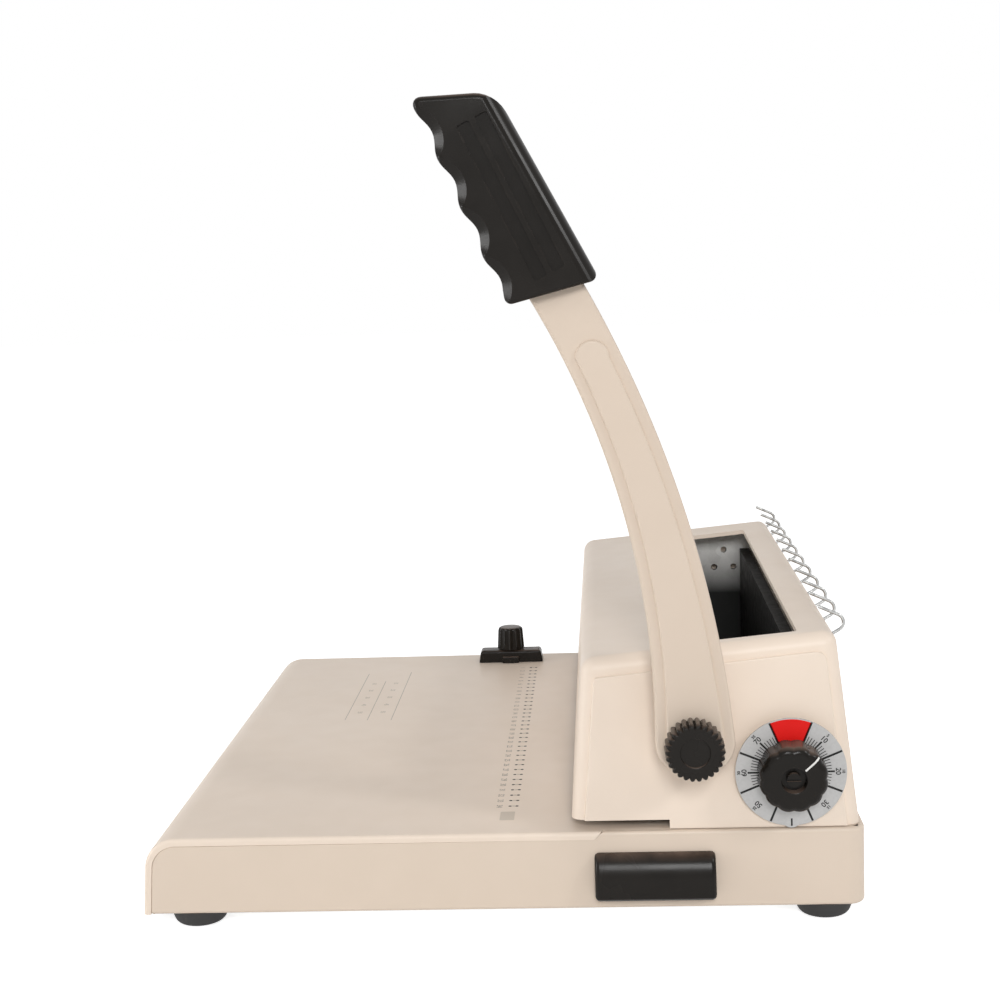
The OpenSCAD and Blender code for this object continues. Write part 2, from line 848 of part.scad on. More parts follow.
module wire_hooks() {
    color(bright) at_hooks() slab_x(-hook_t / 2, hook_t / 2)
        polygon(concat(hook_edge(hook_bend_r + hook_t / 2), reversed(hook_edge(hook_bend_r - hook_t / 2))));
}

module dial_plate() {
    color(silver) difference() {
        slab_x(dial_x, dial_x + dial_t, dial_y, dial_z) {
            circle(d = dial_d);
            translate([0, -dial_d / 2 + 4]) circle(d = 8 + 2 * dial_tab);
        }
        rod_x(spindle_d + 3, dial_x - past, dial_x + dial_t + past, dial_y, dial_z);
    }
}

module dial_bush() {
    color(bronze) difference() {
        union() {
            rod_x(spindle_d + 4, frame_in, frame_out, dial_y, dial_z);
            rod_x(spindle_d + 8, frame_out, frame_out + 2, dial_y, dial_z);
        }
        rod_x(spindle_d + 2 * run_gap, frame_in - past, frame_out + 2 + past, dial_y, dial_z);
    }
}

// The arm between its two curved edges, drawn in by a border
module arm_outline(border) {
    difference() {
        translate(rear_c) circle(r = lever_rear_r - border, $fn = fine_fn);
        translate(front_c) circle(r = lever_front_r + border, $fn = fine_fn);
    }
}

// Everything below the grip's lower edge
module below_grip() {
    low = grip_corner(0);
    high = grip_corner(1);
    along = (high - low) * 3;
    polygon([low - along, [-150, -40], [60, -40], high + along]);
}

// Corners of the grip: front low, rear low, rear high, front high
function grip_corner(i) = grip_seat + turned(grip_local[i], grip_lean);
function turned(p, a) = [p[0] * cos(a) - p[1] * sin(a), p[0] * sin(a) + p[1] * cos(a)];
grip_local = [
    [-grip_w / 2 - 1.8, 10.6], [grip_w / 2 - 1.8, 2.1], [grip_top_w / 2 - 1.9, grip_l - 4.5],
    [-grip_top_w / 2 - 1.7, grip_l + 10.4]];

module tang(w, l) {
    translate(grip_seat) rotate(grip_lean) translate([-w / 2 - 1.8, -12]) square([w, l + 12]);
}

module lever_arm() {
    rib_end_w = lever_top_w / 2 - rib_border - 1.5;
    color(cream) difference() {
        union() {
            slab_x(lever_x, lever_out, shaft_y, shaft_z) {
                intersection() {
                    arm_outline(0);
                    below_grip();
                    translate([-lever_rise, 0]) square([2 * lever_rise, 2 * lever_rise]);
                }
                circle(d = hub_d);
            }
            slab_x(lever_out, lever_out + rib_rise, shaft_y, shaft_z) {
                intersection() {
                    arm_outline(rib_border);
                    translate([-lever_rise, 0]) square([2 * lever_rise, rib_top - rib_end_w]);
                }
                circle(d = hub_d - 2 * rib_border);
                translate([rib_middle(rib_top - rib_end_w), rib_top - rib_end_w - 2]) circle(r = rib_end_w);
            }
            slab_x(lever_mid - tang_t / 2, lever_mid + tang_t / 2, shaft_y, shaft_z) tang(tang_w, tang_l);
            rod_x(hub_boss_d, hub_x, lever_x, shaft_y, shaft_z);
        }
        rod_x(shaft_d + 2 * fit_gap, hub_x - past, lever_out + rib_rise + past, shaft_y, shaft_z);
    }
}

// Middle of the rib at a height above the shaft
function rib_middle(h) = (edge_at(front_c, lever_front_r + rib_border, h)
    + edge_at(rear_c, lever_rear_r - rib_border, h)) / 2;
function edge_at(c, r, h) = c[0] + sqrt(r * r - pow(h - c[1], 2));

module grip_outline() {
    front = grip_local[3] - grip_local[0];
    groove_l = norm(front) / (finger_count + 0.25);
    groove_r = (pow(groove_l / 2, 2) + pow(finger_depth, 2)) / (2 * finger_depth);
    inward = [front[1], -front[0]] / norm(front);
    difference() {
        polygon(rounded(grip_local, [3, 3, 9, 4]));
        for (i = [0:finger_count - 1])
            translate(grip_local[0] + unit(front) * groove_l * (i + 0.5) - inward * (groove_r - finger_depth))
                circle(r = groove_r, $fn = 128);
    }
}

module lever_grip() {
    side_r = 9;
    color(black) difference() {
        intersection() {
            slab_x(lever_mid - grip_t / 2, lever_mid + grip_t / 2, shaft_y, shaft_z)
                translate(grip_seat) rotate(grip_lean) grip_outline();
            translate([lever_mid, shaft_y + grip_seat[0], shaft_z + grip_seat[1]]) rotate([grip_lean, 0, 0])
                translate([0, -1.8, 0]) linear_extrude(grip_l + 30) rounded_rect(grip_t, grip_w + 0.5, side_r);
        }
        slab_x(lever_mid - tang_t / 2 - fit_gap, lever_mid + tang_t / 2 + fit_gap, shaft_y, shaft_z)
            tang(tang_w + 2 * fit_gap, tang_l + 1);
    }
}

module drive_shaft() {
    color(bright) {
        rod_x(shaft_d, -frame_out - 4.5, lever_out + rib_rise, shaft_y, shaft_z);
        rod_x(stud_d, lever_out + rib_rise, lever_out + rib_rise + stud_l, shaft_y, shaft_z);
    }
}

module pinions() {
    root_r = pitch_r - dedendum;
    tip_r = pitch_r + addendum;
    step = 360 / pinion_teeth;
    color(steel) both_sides() difference() {
        slab_x(pinion_out - pinion_w, pinion_out, shaft_y, shaft_z)
            polygon([for (i = [0:pinion_teeth - 1]) each tooth_points(step * (i + 0.5), root_r, tip_r)]);
        rod_x(shaft_d + 2 * fit_gap, pinion_out - pinion_w - past, pinion_out + past, shaft_y, shaft_z);
    }
}

module shaft_collars() {
    color(dark_steel) both_sides() difference() {
        rod_x(shaft_d + 7, frame_out + 0.3, frame_out + 4.3, shaft_y, shaft_z);
        rod_x(shaft_d + 2 * fit_gap, frame_out - past, frame_out + 4.3 + past, shaft_y, shaft_z);
    }
}

module clamp_knob() {
    scallop_d = PI * clamp_d / clamp_scallops * 0.62;
    color(black) difference() {
        translate([knob_x, shaft_y, shaft_z]) rotate([0, 90, 0]) difference() {
            rotate_extrude() polygon([
                [0, 0], [clamp_d / 2 - 1, 0], [clamp_d / 2, 1], [clamp_d / 2, clamp_h - 1.2],
                [clamp_d / 2 - 1.2, clamp_h], [clamp_d / 4, clamp_h], [clamp_d / 4 - 0.6, clamp_h - 0.9],
                [0, clamp_h - 0.9]]);
            for (i = [0:clamp_scallops - 1])
                rotate(360 / clamp_scallops * i) translate([clamp_d / 2 + 0.2, 0, -past])
                    cylinder(d = scallop_d, h = clamp_h + 2 * past, $fn = 16);
        }
        rod_x(stud_d + 2 * run_gap, knob_x - past, lever_out + rib_rise + stud_l + 0.5, shaft_y, shaft_z);
    }
}

module press_bar() {
    color(dark_steel) difference() {
        block([-bar_half, bar_front, bar_z], [bar_half, bar_back, bar_top]);
        both_sides() rod_z(post_d + 2 * run_gap, bar_z - past, bar_top + past, post_x, punch_y);
        at_retainer_screws() screw_hole(bar_h);
    }
}

module at_retainer_screws() {
    for (x = [-1.5, -0.5, 0.5, 1.5], y = [-1, 1])
        translate([x * punch_half * 0.6, punch_y + y * 5.5, bar_top]) children();
}

module punch_retainer() {
    half = punch_half + 4;
    color(steel) difference() {
        block([-half, bar_front + 1, retainer_z], [half, bar_back - 1, bar_z]);
        punch_holes(0.03, retainer_z, bar_z);
        at_retainer_screws() screw_hole(bar_h + retainer_t - 2);
    }
}

module retainer_screws() {
    color(bright) at_retainer_screws() screw(bar_h + retainer_t - 2);
}

module punches() {
    color(bright) for (i = [0:punch_count - 1])
        translate([punch_x(i) - punch_side / 2, punch_y - punch_side / 2, punch_tip_z])
            cube([punch_side, punch_side, bar_z - punch_tip_z]);
}

// Straight rack teeth along +y of the outline, pointing to +x, with a tooth at 0
module rack_outline(low, high, back) {
    half = (tooth_pitch - backlash) / 4;
    tip = half - addendum * tan(pressure_angle);
    root = half + dedendum * tan(pressure_angle);
    first = ceil((low + root) / tooth_pitch);
    last = floor((high - root) / tooth_pitch);
    polygon(concat(
        [[-dedendum - back, high], [-dedendum - back, low], [-dedendum, low]],
        [for (i = [first:last]) each let (c = i * tooth_pitch)
            [[-dedendum, c - root], [addendum, c - tip], [addendum, c + tip], [-dedendum, c + root]]],
        [[-dedendum, high]]));
}

module press_racks() {
    color(steel) both_sides()
        slab_x(press_rack_in, press_rack_in + rack_w, rack_line, shaft_z)
            rack_outline(bar_z - shaft_z, press_rack_top - shaft_z, rack_back_t);
}

module closer_racks() {
    color(steel) both_sides()
        slab_x(closer_rack_in, closer_rack_in + rack_w, shaft_y, closer_line)
            rotate(90) mirror([0, 1]) rack_outline(closer_rack_front - shaft_y, closer_front - shaft_y,
                                                   closer_rack_h - dedendum);
}

module closing_bar() {
    color(black) block([-closer_half, closer_front, closer_z], [closer_half, closer_front + closer_bar_t, closer_top]);
}

module stop_pin() {
    color(bright) rod_x(stop_pin_d, closer_half + fit_gap, cam_x + cam_t, stop_pin_y, dial_z);
}

module dial_knob() {
    flute_d = 12;
    flute_depth = 1.8;
    color(black) difference() {
        translate([dial_knob_x, dial_y, dial_z]) rotate([0, 90, 0]) difference() {
            rotate_extrude() polygon([
                [0, 0], [dial_knob_d / 2, 0], [dial_knob_d / 2 - 1, dial_knob_h - 3],
                [dial_knob_d / 2 - 3.5, dial_knob_h], [6, dial_knob_h], [5.5, dial_knob_h - 3],
                [0, dial_knob_h - 3]]);
            for (i = [0:dial_flutes - 1])
                rotate(360 / dial_flutes * (i + 0.5)) translate([dial_knob_d / 2 + flute_d / 2 - flute_depth, 0, -past])
                    cylinder(d = flute_d, h = dial_knob_h + 2 * past, $fn = 32);
        }
        rod_x(spindle_d + 2 * fit_gap, dial_knob_x - past, dial_knob_x + dial_knob_h - 5, dial_y, dial_z);
        rod_x(3.2 + 2 * fit_gap, dial_knob_x, dial_knob_x + dial_knob_h, dial_y, dial_z);
    }
}

module dial_spindle() {
    color(bright) difference() {
        rod_x(spindle_d, cam_x, dial_knob_x + dial_knob_h - 5.2, dial_y, dial_z);
        rod_x(3.2 + 2 * fit_gap, dial_knob_x - 4, dial_knob_x + dial_knob_h, dial_y, dial_z);
    }
}

module stop_cam() {
    color(dark_steel) difference() {
        slab_x(cam_x, cam_x + cam_t, dial_y, dial_z)
            polygon([for (s = [-60:6:294]) polar(cam_r(s > 280 ? 0 : s), 180 + s)]);
        rod_x(spindle_d + 2 * fit_gap, cam_x - past, cam_x + cam_t + past, dial_y, dial_z);
    }
}

module dial_screw() {
    seat = dial_knob_x + dial_knob_h - 3;
    color(dark_steel) {
        rod_x(3.2, dial_knob_x - 3, seat, dial_y, dial_z);
        difference() {
            rod_x(6.5, seat, seat + 2, dial_y, dial_z);
            translate([seat + 1, dial_y - 4, dial_z - 0.5]) cube([2, 8, 1]);
        }
    }
}

module chip_tray() {
    low = [tray_x0, tray_y - tray_w / 2, tray_z];
    high = [tray_x1, tray_y + tray_w / 2, tray_z + tray_h];
    wall = [tray_wall, tray_wall, tray_wall];
    color(dark_steel) difference() {
        block(low, high);
        block(low + wall, high + [-2 * tray_wall, -tray_wall, past]);
        at_pull_screws() screw_hole(12);
    }
}

module at_pull_screws() {
    for (s = [-1, 1])
        translate([tray_x1 - 2 * tray_wall, tray_y + s * 15, pull_z + pull_h / 2]) rotate([0, -90, 0]) children();
}

module drawer_pull() {
    edge = 3;
    groove_d = 5;
    color(black) difference() {
        translate([tray_x1, tray_y, pull_z + pull_h / 2]) rotate([90, 0, 90]) {
            linear_extrude(pull_t - edge) rounded_rect(pull_w, pull_h, edge);
            translate([0, 0, pull_t - edge]) hull() for (x = [-1, 1], y = [-1, 1])
                translate([x * (pull_w / 2 - edge), y * (pull_h / 2 - edge), 0]) intersection() {
                    sphere(r = edge, $fn = 32);
                    cylinder(r = 2 * edge, h = edge);
                }
        }
        translate([tray_x1 + pull_t + groove_d / 2 - 1.2, tray_y, pull_z + pull_h * 0.7]) rotate([90, 0, 0])
            cylinder(d = groove_d, h = pull_w - 4 * edge, center = true);
        at_pull_screws() screw_hole(2 * tray_wall + 5);
    }
}

module pull_screws() {
    color(bright) at_pull_screws() screw(2 * tray_wall + 4);
}

module guide_bar() {
    nub = 3;
    color(black) difference() {
        union() {
            translate([guide_x, -guide_front, guide_z]) {
                linear_extrude(guide_h - 1) rounded_rect(guide_w, guide_l, 3);
                linear_extrude(guide_h) rounded_rect(guide_w - 2, guide_l - 2, 2);
            }
            block([guide_x, -guide_front - 9, guide_z], [guide_x + guide_w / 2 + nub, -guide_front + 9, guide_z + 4]);
        }
        rod_z(guide_stud_d + 2 * fit_gap, guide_z - past, guide_top + past, guide_x, -guide_front);
    }
}

module guide_stud() {
    color(bright) rod_z(guide_stud_d, seam_z - seat_gap - guide_nut_h, guide_knob_z + 8, guide_x, -guide_front);
}

module guide_nut() {
    color(steel) difference() {
        translate([guide_x, -guide_front, seam_z - seat_gap - guide_nut_h]) linear_extrude(guide_nut_h)
            square([10, 14], center = true);
        rod_z(guide_stud_d + 2 * fit_gap, floor_z, seam_z, guide_x, -guide_front);
    }
}

module guide_knob() {
    flutes = 18;
    r = guide_knob_d / 2;
    color(black) difference() {
        translate([guide_x, -guide_front, guide_knob_z]) difference() {
            rotate_extrude() polygon([[0, 0], [r, 0], [r - 1, guide_knob_h - 1], [r - 2, guide_knob_h], [0, guide_knob_h]]);
            for (i = [0:flutes - 1]) rotate(360 / flutes * i) translate([r + 0.3, 0, -past])
                cylinder(d = 2, h = guide_knob_h + 2 * past, $fn = 16);
        }
        rod_z(guide_stud_d + 2 * run_gap, guide_knob_z - past, guide_knob_z + 8.5, guide_x, -guide_front);
    }
}

// The part's origin is below the middle of the whole width and depth
module placed() {
    translate([-middle_x, -middle_y, 0]) children();
}

placed() base_tray();
placed() bottom_plate();
placed() table_top();
placed() feet();
placed() foot_screws();
placed() drawer_rails();
placed() die_plate();
placed() stripper_plate();
placed() paper_stop();
placed() die_screws();
placed() left_frame();
placed() right_frame();
placed() frame_screws();
placed() tie_bars();
placed() guide_posts();
placed() return_springs();
placed() shaft_bushes();
placed() rear_anvil();
placed() closer_floor();
placed() rack_guides();
placed() body_cover();
placed() cover_bracket();
placed() cover_screws();
placed() hook_rail();
placed() wire_hooks();
placed() dial_plate();
placed() dial_bush();
placed() lever_arm();
placed() lever_grip();
placed() drive_shaft();
placed() pinions();
placed() shaft_collars();
placed() clamp_knob();
placed() press_bar();
placed() punch_retainer();
placed() retainer_screws();
placed() punches();
placed() press_racks();
placed() closing_bar();
placed() closer_racks();
placed() stop_pin();
placed() dial_knob();
placed() dial_spindle();
placed() stop_cam();
placed() dial_screw();
placed() chip_tray();
placed() drawer_pull();
placed() pull_screws();
placed() guide_bar();
placed() guide_stud();
placed() guide_nut();
placed() guide_knob();
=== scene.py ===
"""Looks of a desk-top book binding machine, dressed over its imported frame.

Pieces are modelled in millimetres on the frame's own axes, and become metres when they are finished.
"""

import json
import logging
from collections.abc import Callable, Iterable, Iterator, Sequence
from contextlib import contextmanager
from dataclasses import dataclass, field
from enum import Enum
from math import atan2, cos, pi, radians, sin, sqrt, tan, tau
from typing import ClassVar

import bmesh
import bpy
from mathutils import Matrix, Vector


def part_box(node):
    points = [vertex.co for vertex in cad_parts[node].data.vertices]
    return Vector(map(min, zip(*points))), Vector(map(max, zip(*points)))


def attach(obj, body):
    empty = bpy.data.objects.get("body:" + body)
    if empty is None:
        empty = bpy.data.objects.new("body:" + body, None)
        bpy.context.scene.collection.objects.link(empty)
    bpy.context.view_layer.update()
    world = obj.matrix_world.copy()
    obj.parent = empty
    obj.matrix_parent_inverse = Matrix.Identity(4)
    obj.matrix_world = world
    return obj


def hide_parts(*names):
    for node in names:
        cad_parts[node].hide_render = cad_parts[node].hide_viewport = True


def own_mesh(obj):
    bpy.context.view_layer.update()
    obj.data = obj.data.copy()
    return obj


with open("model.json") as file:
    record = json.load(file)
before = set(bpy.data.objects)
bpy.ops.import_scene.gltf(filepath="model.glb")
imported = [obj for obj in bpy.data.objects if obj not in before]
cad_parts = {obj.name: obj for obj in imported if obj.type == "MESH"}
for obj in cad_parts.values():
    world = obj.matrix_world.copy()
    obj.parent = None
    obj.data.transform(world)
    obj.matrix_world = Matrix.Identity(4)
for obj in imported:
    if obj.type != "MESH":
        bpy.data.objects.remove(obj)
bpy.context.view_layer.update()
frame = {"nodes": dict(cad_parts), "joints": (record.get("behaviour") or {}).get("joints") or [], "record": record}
MM = 0.001
# Places closer than this, in millimetres, count as the same
NEAR = 0.01
# Ways count as the same when their cosine is above this
ALIKE = 0.99
# How far cutting tools reach past a surface, in millimetres
PAST = 1.0
ALONG_X = Matrix.Rotation(pi / 2, 4, "Y")
UP, DOWN = Vector((0, 0, 1)), Vector((0, 0, -1))
X, Y, Z = range(3)
log = logging.getLogger("binding_machine")

Point = tuple[float, float]
Triple = tuple[float, float, float]
Colour = Triple
Piece = bpy.types.Object
Node = bpy.types.Node
Socket = bpy.types.NodeSocket
Test = Callable[[object], bool]


# Modelling tools

class Part(Enum):
    """What an edit-mode selection is made of."""

    VERT = "verts"
    EDGE = "edges"
    FACE = "faces"


class Work(Enum):
    """How one solid is worked into another."""

    CUT = "DIFFERENCE"
    WELD = "UNION"
    KEEP = "INTERSECT"


class Rim(Enum):
    """Outline of a knob's rim between two ridges or two valleys."""

    FLUTED = "hollow"
    LOBED = "round"


def span(node: str) -> tuple[Vector, Vector]:
    """Return the lowest and highest corner of a CAD node, in millimetres."""
    low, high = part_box(node)
    return low / MM, high / MM


def joint_row(name: str) -> dict:
    """Return what the frame says of a joint."""
    return next(row for row in frame["joints"] if row["name"] == name)


def pivot(joint: str) -> Vector:
    """Return the place of a joint, in millimetres."""
    return Vector(joint_row(joint)["pos_m"]) / MM


def alone(*pieces: Piece) -> None:
    """Select these pieces and nothing else, the first one active."""
    bpy.ops.object.select_all(action="DESELECT")
    for piece in pieces:
        piece.select_set(True)
    bpy.context.view_layer.objects.active = pieces[0]


@contextmanager
def editing(piece: Piece) -> Iterator[None]:
    """Open a piece in edit mode with all of its points selected."""
    alone(piece)
    bpy.ops.object.mode_set(mode="EDIT")
    bpy.ops.mesh.select_mode(type="VERT")
    bpy.ops.mesh.select_all(action="SELECT")
    try:
        yield
    finally:
        bpy.ops.object.mode_set(mode="OBJECT")


def pick(piece: Piece, part: Part, test: Test) -> None:
    """Select the vertices, edges or faces that pass a test, in edit mode.

    Args:
        piece: The piece that is open in edit mode.
        part: What is selected.
        test: Called with each vertex, edge or face.
    """
    bpy.ops.mesh.select_mode(type=part.name)
    bpy.ops.mesh.select_all(action="DESELECT")
    shape = bmesh.from_edit_mesh(piece.data)
    for item in getattr(shape, part.value):
        item.select_set(test(item))
    shape.select_flush_mode()
    bmesh.update_edit_mesh(piece.data)


def facing(way: Vector) -> Test:
    """Return a test for faces whose normal points a given way."""
    return lambda face: face.normal.dot(way) > ALIKE


def along(axis: int) -> Test:
    """Return a test for edges that run along one axis."""
    return lambda edge: abs((edge.verts[1].co - edge.verts[0].co).normalized()[axis]) > ALIKE


def level(axis: int, *places: float) -> Test:
    """Return a test for edges that lie at one of these places on an axis."""
    return lambda edge: any(all(abs(v.co[axis] - at) < NEAR for v in edge.verts) for at in places)


def across_at(corner: Point) -> Test:
    """Return a test for edges that run across the machine at a depth and a height."""
    at = Vector(corner)
    return lambda edge: all((v.co.yz - at).length < NEAR for v in edge.verts)


def both(first: Test, second: Test) -> Test:
    """Return a test that passes what passes two tests."""
    return lambda item: first(item) and second(item)


def other(test: Test) -> Test:
    """Return a test that passes what fails a test."""
    return lambda item: not test(item)


def extrude(way: Sequence[float]) -> None:
    """Pull out what is selected in edit mode."""
    bpy.ops.mesh.extrude_region_move(TRANSFORM_OT_translate={"value": way})


def turn_outward() -> None:
    """Turn all faces of the piece in edit mode outward."""
    bpy.ops.mesh.select_all(action="SELECT")
    bpy.ops.mesh.normals_make_consistent(inside=False)


def settle(name: str) -> Piece:
    """Name the newest object and put its place into its mesh."""
    piece = bpy.context.object
    piece.name = name
    piece.data.name = name
    bpy.ops.object.transform_apply(location=True, rotation=True, scale=True)
    return piece


def add(name: str, operator: Callable[..., set[str]], **settings: object) -> Piece:
    """Add a primitive shape as a new piece.

    Args:
        name: Name of the new piece.
        operator: The operator that adds the shape.
        settings: Settings of the operator.

    Returns:
        The new piece.
    """
    bpy.ops.object.select_all(action="DESELECT")
    operator(**settings)
    return settle(name)


def put(piece: Piece, place: Matrix) -> Piece:
    """Move a piece by a matrix and put that into its mesh."""
    alone(piece)
    piece.matrix_world = place
    bpy.ops.object.transform_apply(location=True, rotation=True, scale=True)
    return piece


def block(name: str, low: Sequence[float], high: Sequence[float]) -> Piece:
    """Add a box between two corners."""
    low, high = Vector(low), Vector(high)
    return add(name, bpy.ops.mesh.primitive_cube_add, size=1, location=(low + high) / 2, scale=high - low)


def rod_z(name: str, radius: float, z0: float, z1: float, at: Point = (0, 0), sides: int = 64) -> Piece:
    """Add an upright round bar from one height to another."""
    return add(name, bpy.ops.mesh.primitive_cylinder_add, vertices=sides, radius=radius, depth=z1 - z0,
               location=(*at, (z0 + z1) / 2))


def rod_x(name: str, radius: float, x0: float, x1: float, at: Point = (0, 0), sides: int = 64) -> Piece:
    """Add a round bar across the machine, at a depth and a height."""
    return put(rod_z(name, radius, x0, x1, sides=sides), Matrix.Translation((0, *at)) @ ALONG_X)


def prism(name: str, points: Sequence[Vector], way: Sequence[float]) -> Piece:
    """Draw a flat outline point by point, fill it and pull it into a solid.

    Args:
        name: Name of the new piece.
        points: Corners of the outline in order.
        way: How far the outline is pulled.

    Returns:
        The solid.
    """
    piece = add(name, bpy.ops.mesh.primitive_plane_add, size=1, location=points[0])
    with editing(piece):
        bpy.ops.mesh.merge(type="CENTER")
        for start, end in zip(points, points[1:]):
            bpy.ops.mesh.extrude_vertices_move(TRANSFORM_OT_translate={"value": end - start})
        bpy.ops.mesh.select_all(action="SELECT")
        bpy.ops.mesh.edge_face_add()
    with editing(piece):
        extrude(way)
        turn_outward()
    return piece


def slab(name: str, points: Iterable[Point], x0: float, x1: float) -> Piece:
    """Make a slab across the machine from an outline of depths and heights."""
    return prism(name, [Vector((x0, *p)) for p in points], (x1 - x0, 0, 0))


def round_edges(piece: Piece, test: Test, width: float, steps: int = 4) -> None:
    """Round the edges that pass a test.

    Args:
        piece: The piece to work on.
        test: Called with each edge.
        width: How far the rounding reaches from the edge.
        steps: Number of facets across it.
    """
    with editing(piece):
        pick(piece, Part.EDGE, test)
        bpy.ops.mesh.bevel(offset=width, offset_type="OFFSET", segments=steps, profile=0.5, affect="EDGES")


def modify(piece: Piece, kind: str, **settings: object) -> None:
    """Give a piece a modifier with these settings and apply it."""
    alone(piece)
    modifier = piece.modifiers.new(kind.lower(), kind)
    for key, value in settings.items():
        setattr(modifier, key, value)
    bpy.ops.object.modifier_apply(modifier=modifier.name)


def soften(piece: Piece, width: float, steps: int = 2, angle: float = 35.0) -> None:
    """Take the sharpness off every edge that turns more than an angle."""
    modify(piece, "BEVEL", width=width, segments=steps, limit_method="ANGLE", angle_limit=radians(angle))


def slice_off(piece: Piece, at: Vector, outward: Vector, fill: bool = True) -> None:
    """Cut away what lies past a plane, and close the cut if it is to be filled."""
    with editing(piece):
        bpy.ops.mesh.bisect(plane_co=at, plane_no=outward, use_fill=fill, clear_outer=True)


def combine(piece: Piece, tool: Piece, work: Work) -> None:
    """Work a tool solid into a piece and take the tool away."""
    modify(piece, "BOOLEAN", operation=work.value, solver="EXACT", object=tool)
    bpy.data.objects.remove(tool)


def copy_to(piece: Piece, place: Matrix, name: str) -> Piece:
    """Copy a piece, with its own mesh, to another place."""
    alone(piece)
    bpy.ops.object.duplicate(linked=False)
    twin = bpy.context.object
    twin.name = name
    return put(twin, place)


def unite(pieces: Sequence[Piece]) -> Piece:
    """Join pieces into the first one."""
    alone(*pieces)
    bpy.ops.object.join()
    return pieces[0]


def repeat(piece: Piece, places: Iterable[Matrix]) -> Piece:
    """Copy a piece to each place and join the copies."""
    copies = [copy_to(piece, place, piece.name) for place in places]
    bpy.data.objects.remove(piece)
    return unite(copies)


def spaced(first: float, last: float, count: int) -> list[float]:
    """Return evenly spaced values from the first to the last."""
    return [first + (last - first) * number / (count - 1) for number in range(count)]


@dataclass(frozen=True)
class Knob:
    """A knob round the Z axis.

    Attributes:
        rings: Height and radius of each ring, from below.
        rim: Outline of the rim.
        count: Number of flutes or lobes.
        depth: Depth of one flute, or of the valley between lobes.
        inner: Rings up to this radius stay round.
        steps: Points across one flute or lobe.
    """

    rings: tuple[Point, ...]
    rim: Rim
    count: int
    depth: float
    inner: float
    steps: int

    def at_step(self, step: int) -> Test:
        """Return a test for rim points that lie at one step across a flute or lobe."""
        turn = tau / (self.count * self.steps)
        return lambda point: (point.co.xy.length > self.inner
                              and round(atan2(point.co.y, point.co.x) / turn) % self.steps == step)

    def model(self, name: str) -> Piece:
        """Model the knob ring by ring, standing on the origin, and draw in its rim."""
        height, radius = self.rings[0]
        widest = max(radius for _, radius in self.rings)
        piece = add(name, bpy.ops.mesh.primitive_circle_add, vertices=self.count * self.steps, radius=radius,
                    fill_type="NGON", location=(0, 0, height))
        with editing(piece):
            for (z0, r0), (z1, r1) in zip(self.rings, self.rings[1:]):
                extrude((0, 0, z1 - z0))
                bpy.ops.transform.resize(value=(r1 / r0, r1 / r0, 1), center_override=(0, 0, z1))
            turn_outward()
            for step in range(self.steps):
                across = abs(2 * step / self.steps - 1)
                sunk = 1 - across**2 if self.rim is Rim.FLUTED else across**2
                share = 1 - self.depth * sunk / widest
                pick(piece, Part.VERT, self.at_step(step))
                bpy.ops.transform.resize(value=(share, share, 1), center_override=(0, 0, 0))
        return piece


def lettering(name: str, words: str, size: float, place: Matrix, rise: float, weight: float = 0.0) -> Piece:
    """Set plain figures as a thin mesh.

    Args:
        name: Name of the new piece.
        words: The figures.
        size: Height of a line.
        place: Where the middle of the text goes, with its X to the right and Y up.
        rise: Thickness of the print.
        weight: How far the strokes are thickened.

    Returns:
        The figures as a mesh.
    """
    bpy.ops.object.select_all(action="DESELECT")
    bpy.ops.object.text_add()
    text = bpy.context.object.data
    text.body = words
    text.size = size
    text.align_x = "CENTER"
    text.align_y = "CENTER"
    text.extrude = rise
    text.offset = weight
    text.resolution_u = 3
    bpy.ops.object.convert(target="MESH")
    figures = settle(name)
    with editing(figures):
        bpy.ops.mesh.remove_doubles(threshold=0.0005)
    return put(figures, place)


def finish_piece(piece: Piece, body: str, finish: "Finish", *nodes: str, angle: float = 32.0) -> Piece:
    """Bring a piece to metres, smooth it, dress it and hang it on its body.

    Args:
        piece: The modelled piece, in millimetres.
        body: The CAD body that it moves with.
        finish: Its surface.
        nodes: CAD nodes that it stands for.
        angle: Edges that turn less than this are shaded smooth.

    Returns:
        The finished piece.
    """
    put(piece, Matrix.Scale(MM, 4))
    bpy.ops.object.shade_smooth_by_angle(angle=radians(angle))
    modify(piece, "WEIGHTED_NORMAL", keep_sharp=True)
    piece.data.materials.clear()
    piece.data.materials.append(finish.material())
    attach(piece, body)
    if nodes:
        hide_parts(*nodes)
    log.info("%s: %d faces on %s", piece.name, len(piece.data.polygons), body)
    return piece


def set_out(model: Piece, places: Iterable[Matrix], finish: "Finish", node: str,
            angle: float = 32.0) -> list[Piece]:
    """Copy a model to each place as a finished piece of the root body, and take the model away.

    Args:
        model: The piece that is copied; the copies are numbered from 1.
        places: A place for each copy.
        finish: Surface of the copies.
        node: The CAD node that they stand for.
        angle: Edges that turn less than this are shaded smooth.

    Returns:
        The finished copies.
    """
    made = [finish_piece(copy_to(model, place, f"{model.name}_{number}"), "root", finish, node, angle=angle)
            for number, place in enumerate(places, 1)]
    bpy.data.objects.remove(model)
    return made


# Surfaces

# Sockets of a Mix node that mixes colours
MIX_SHARE, MIX_FIRST, MIX_SECOND, MIX_RESULT = 0, 6, 7, 2


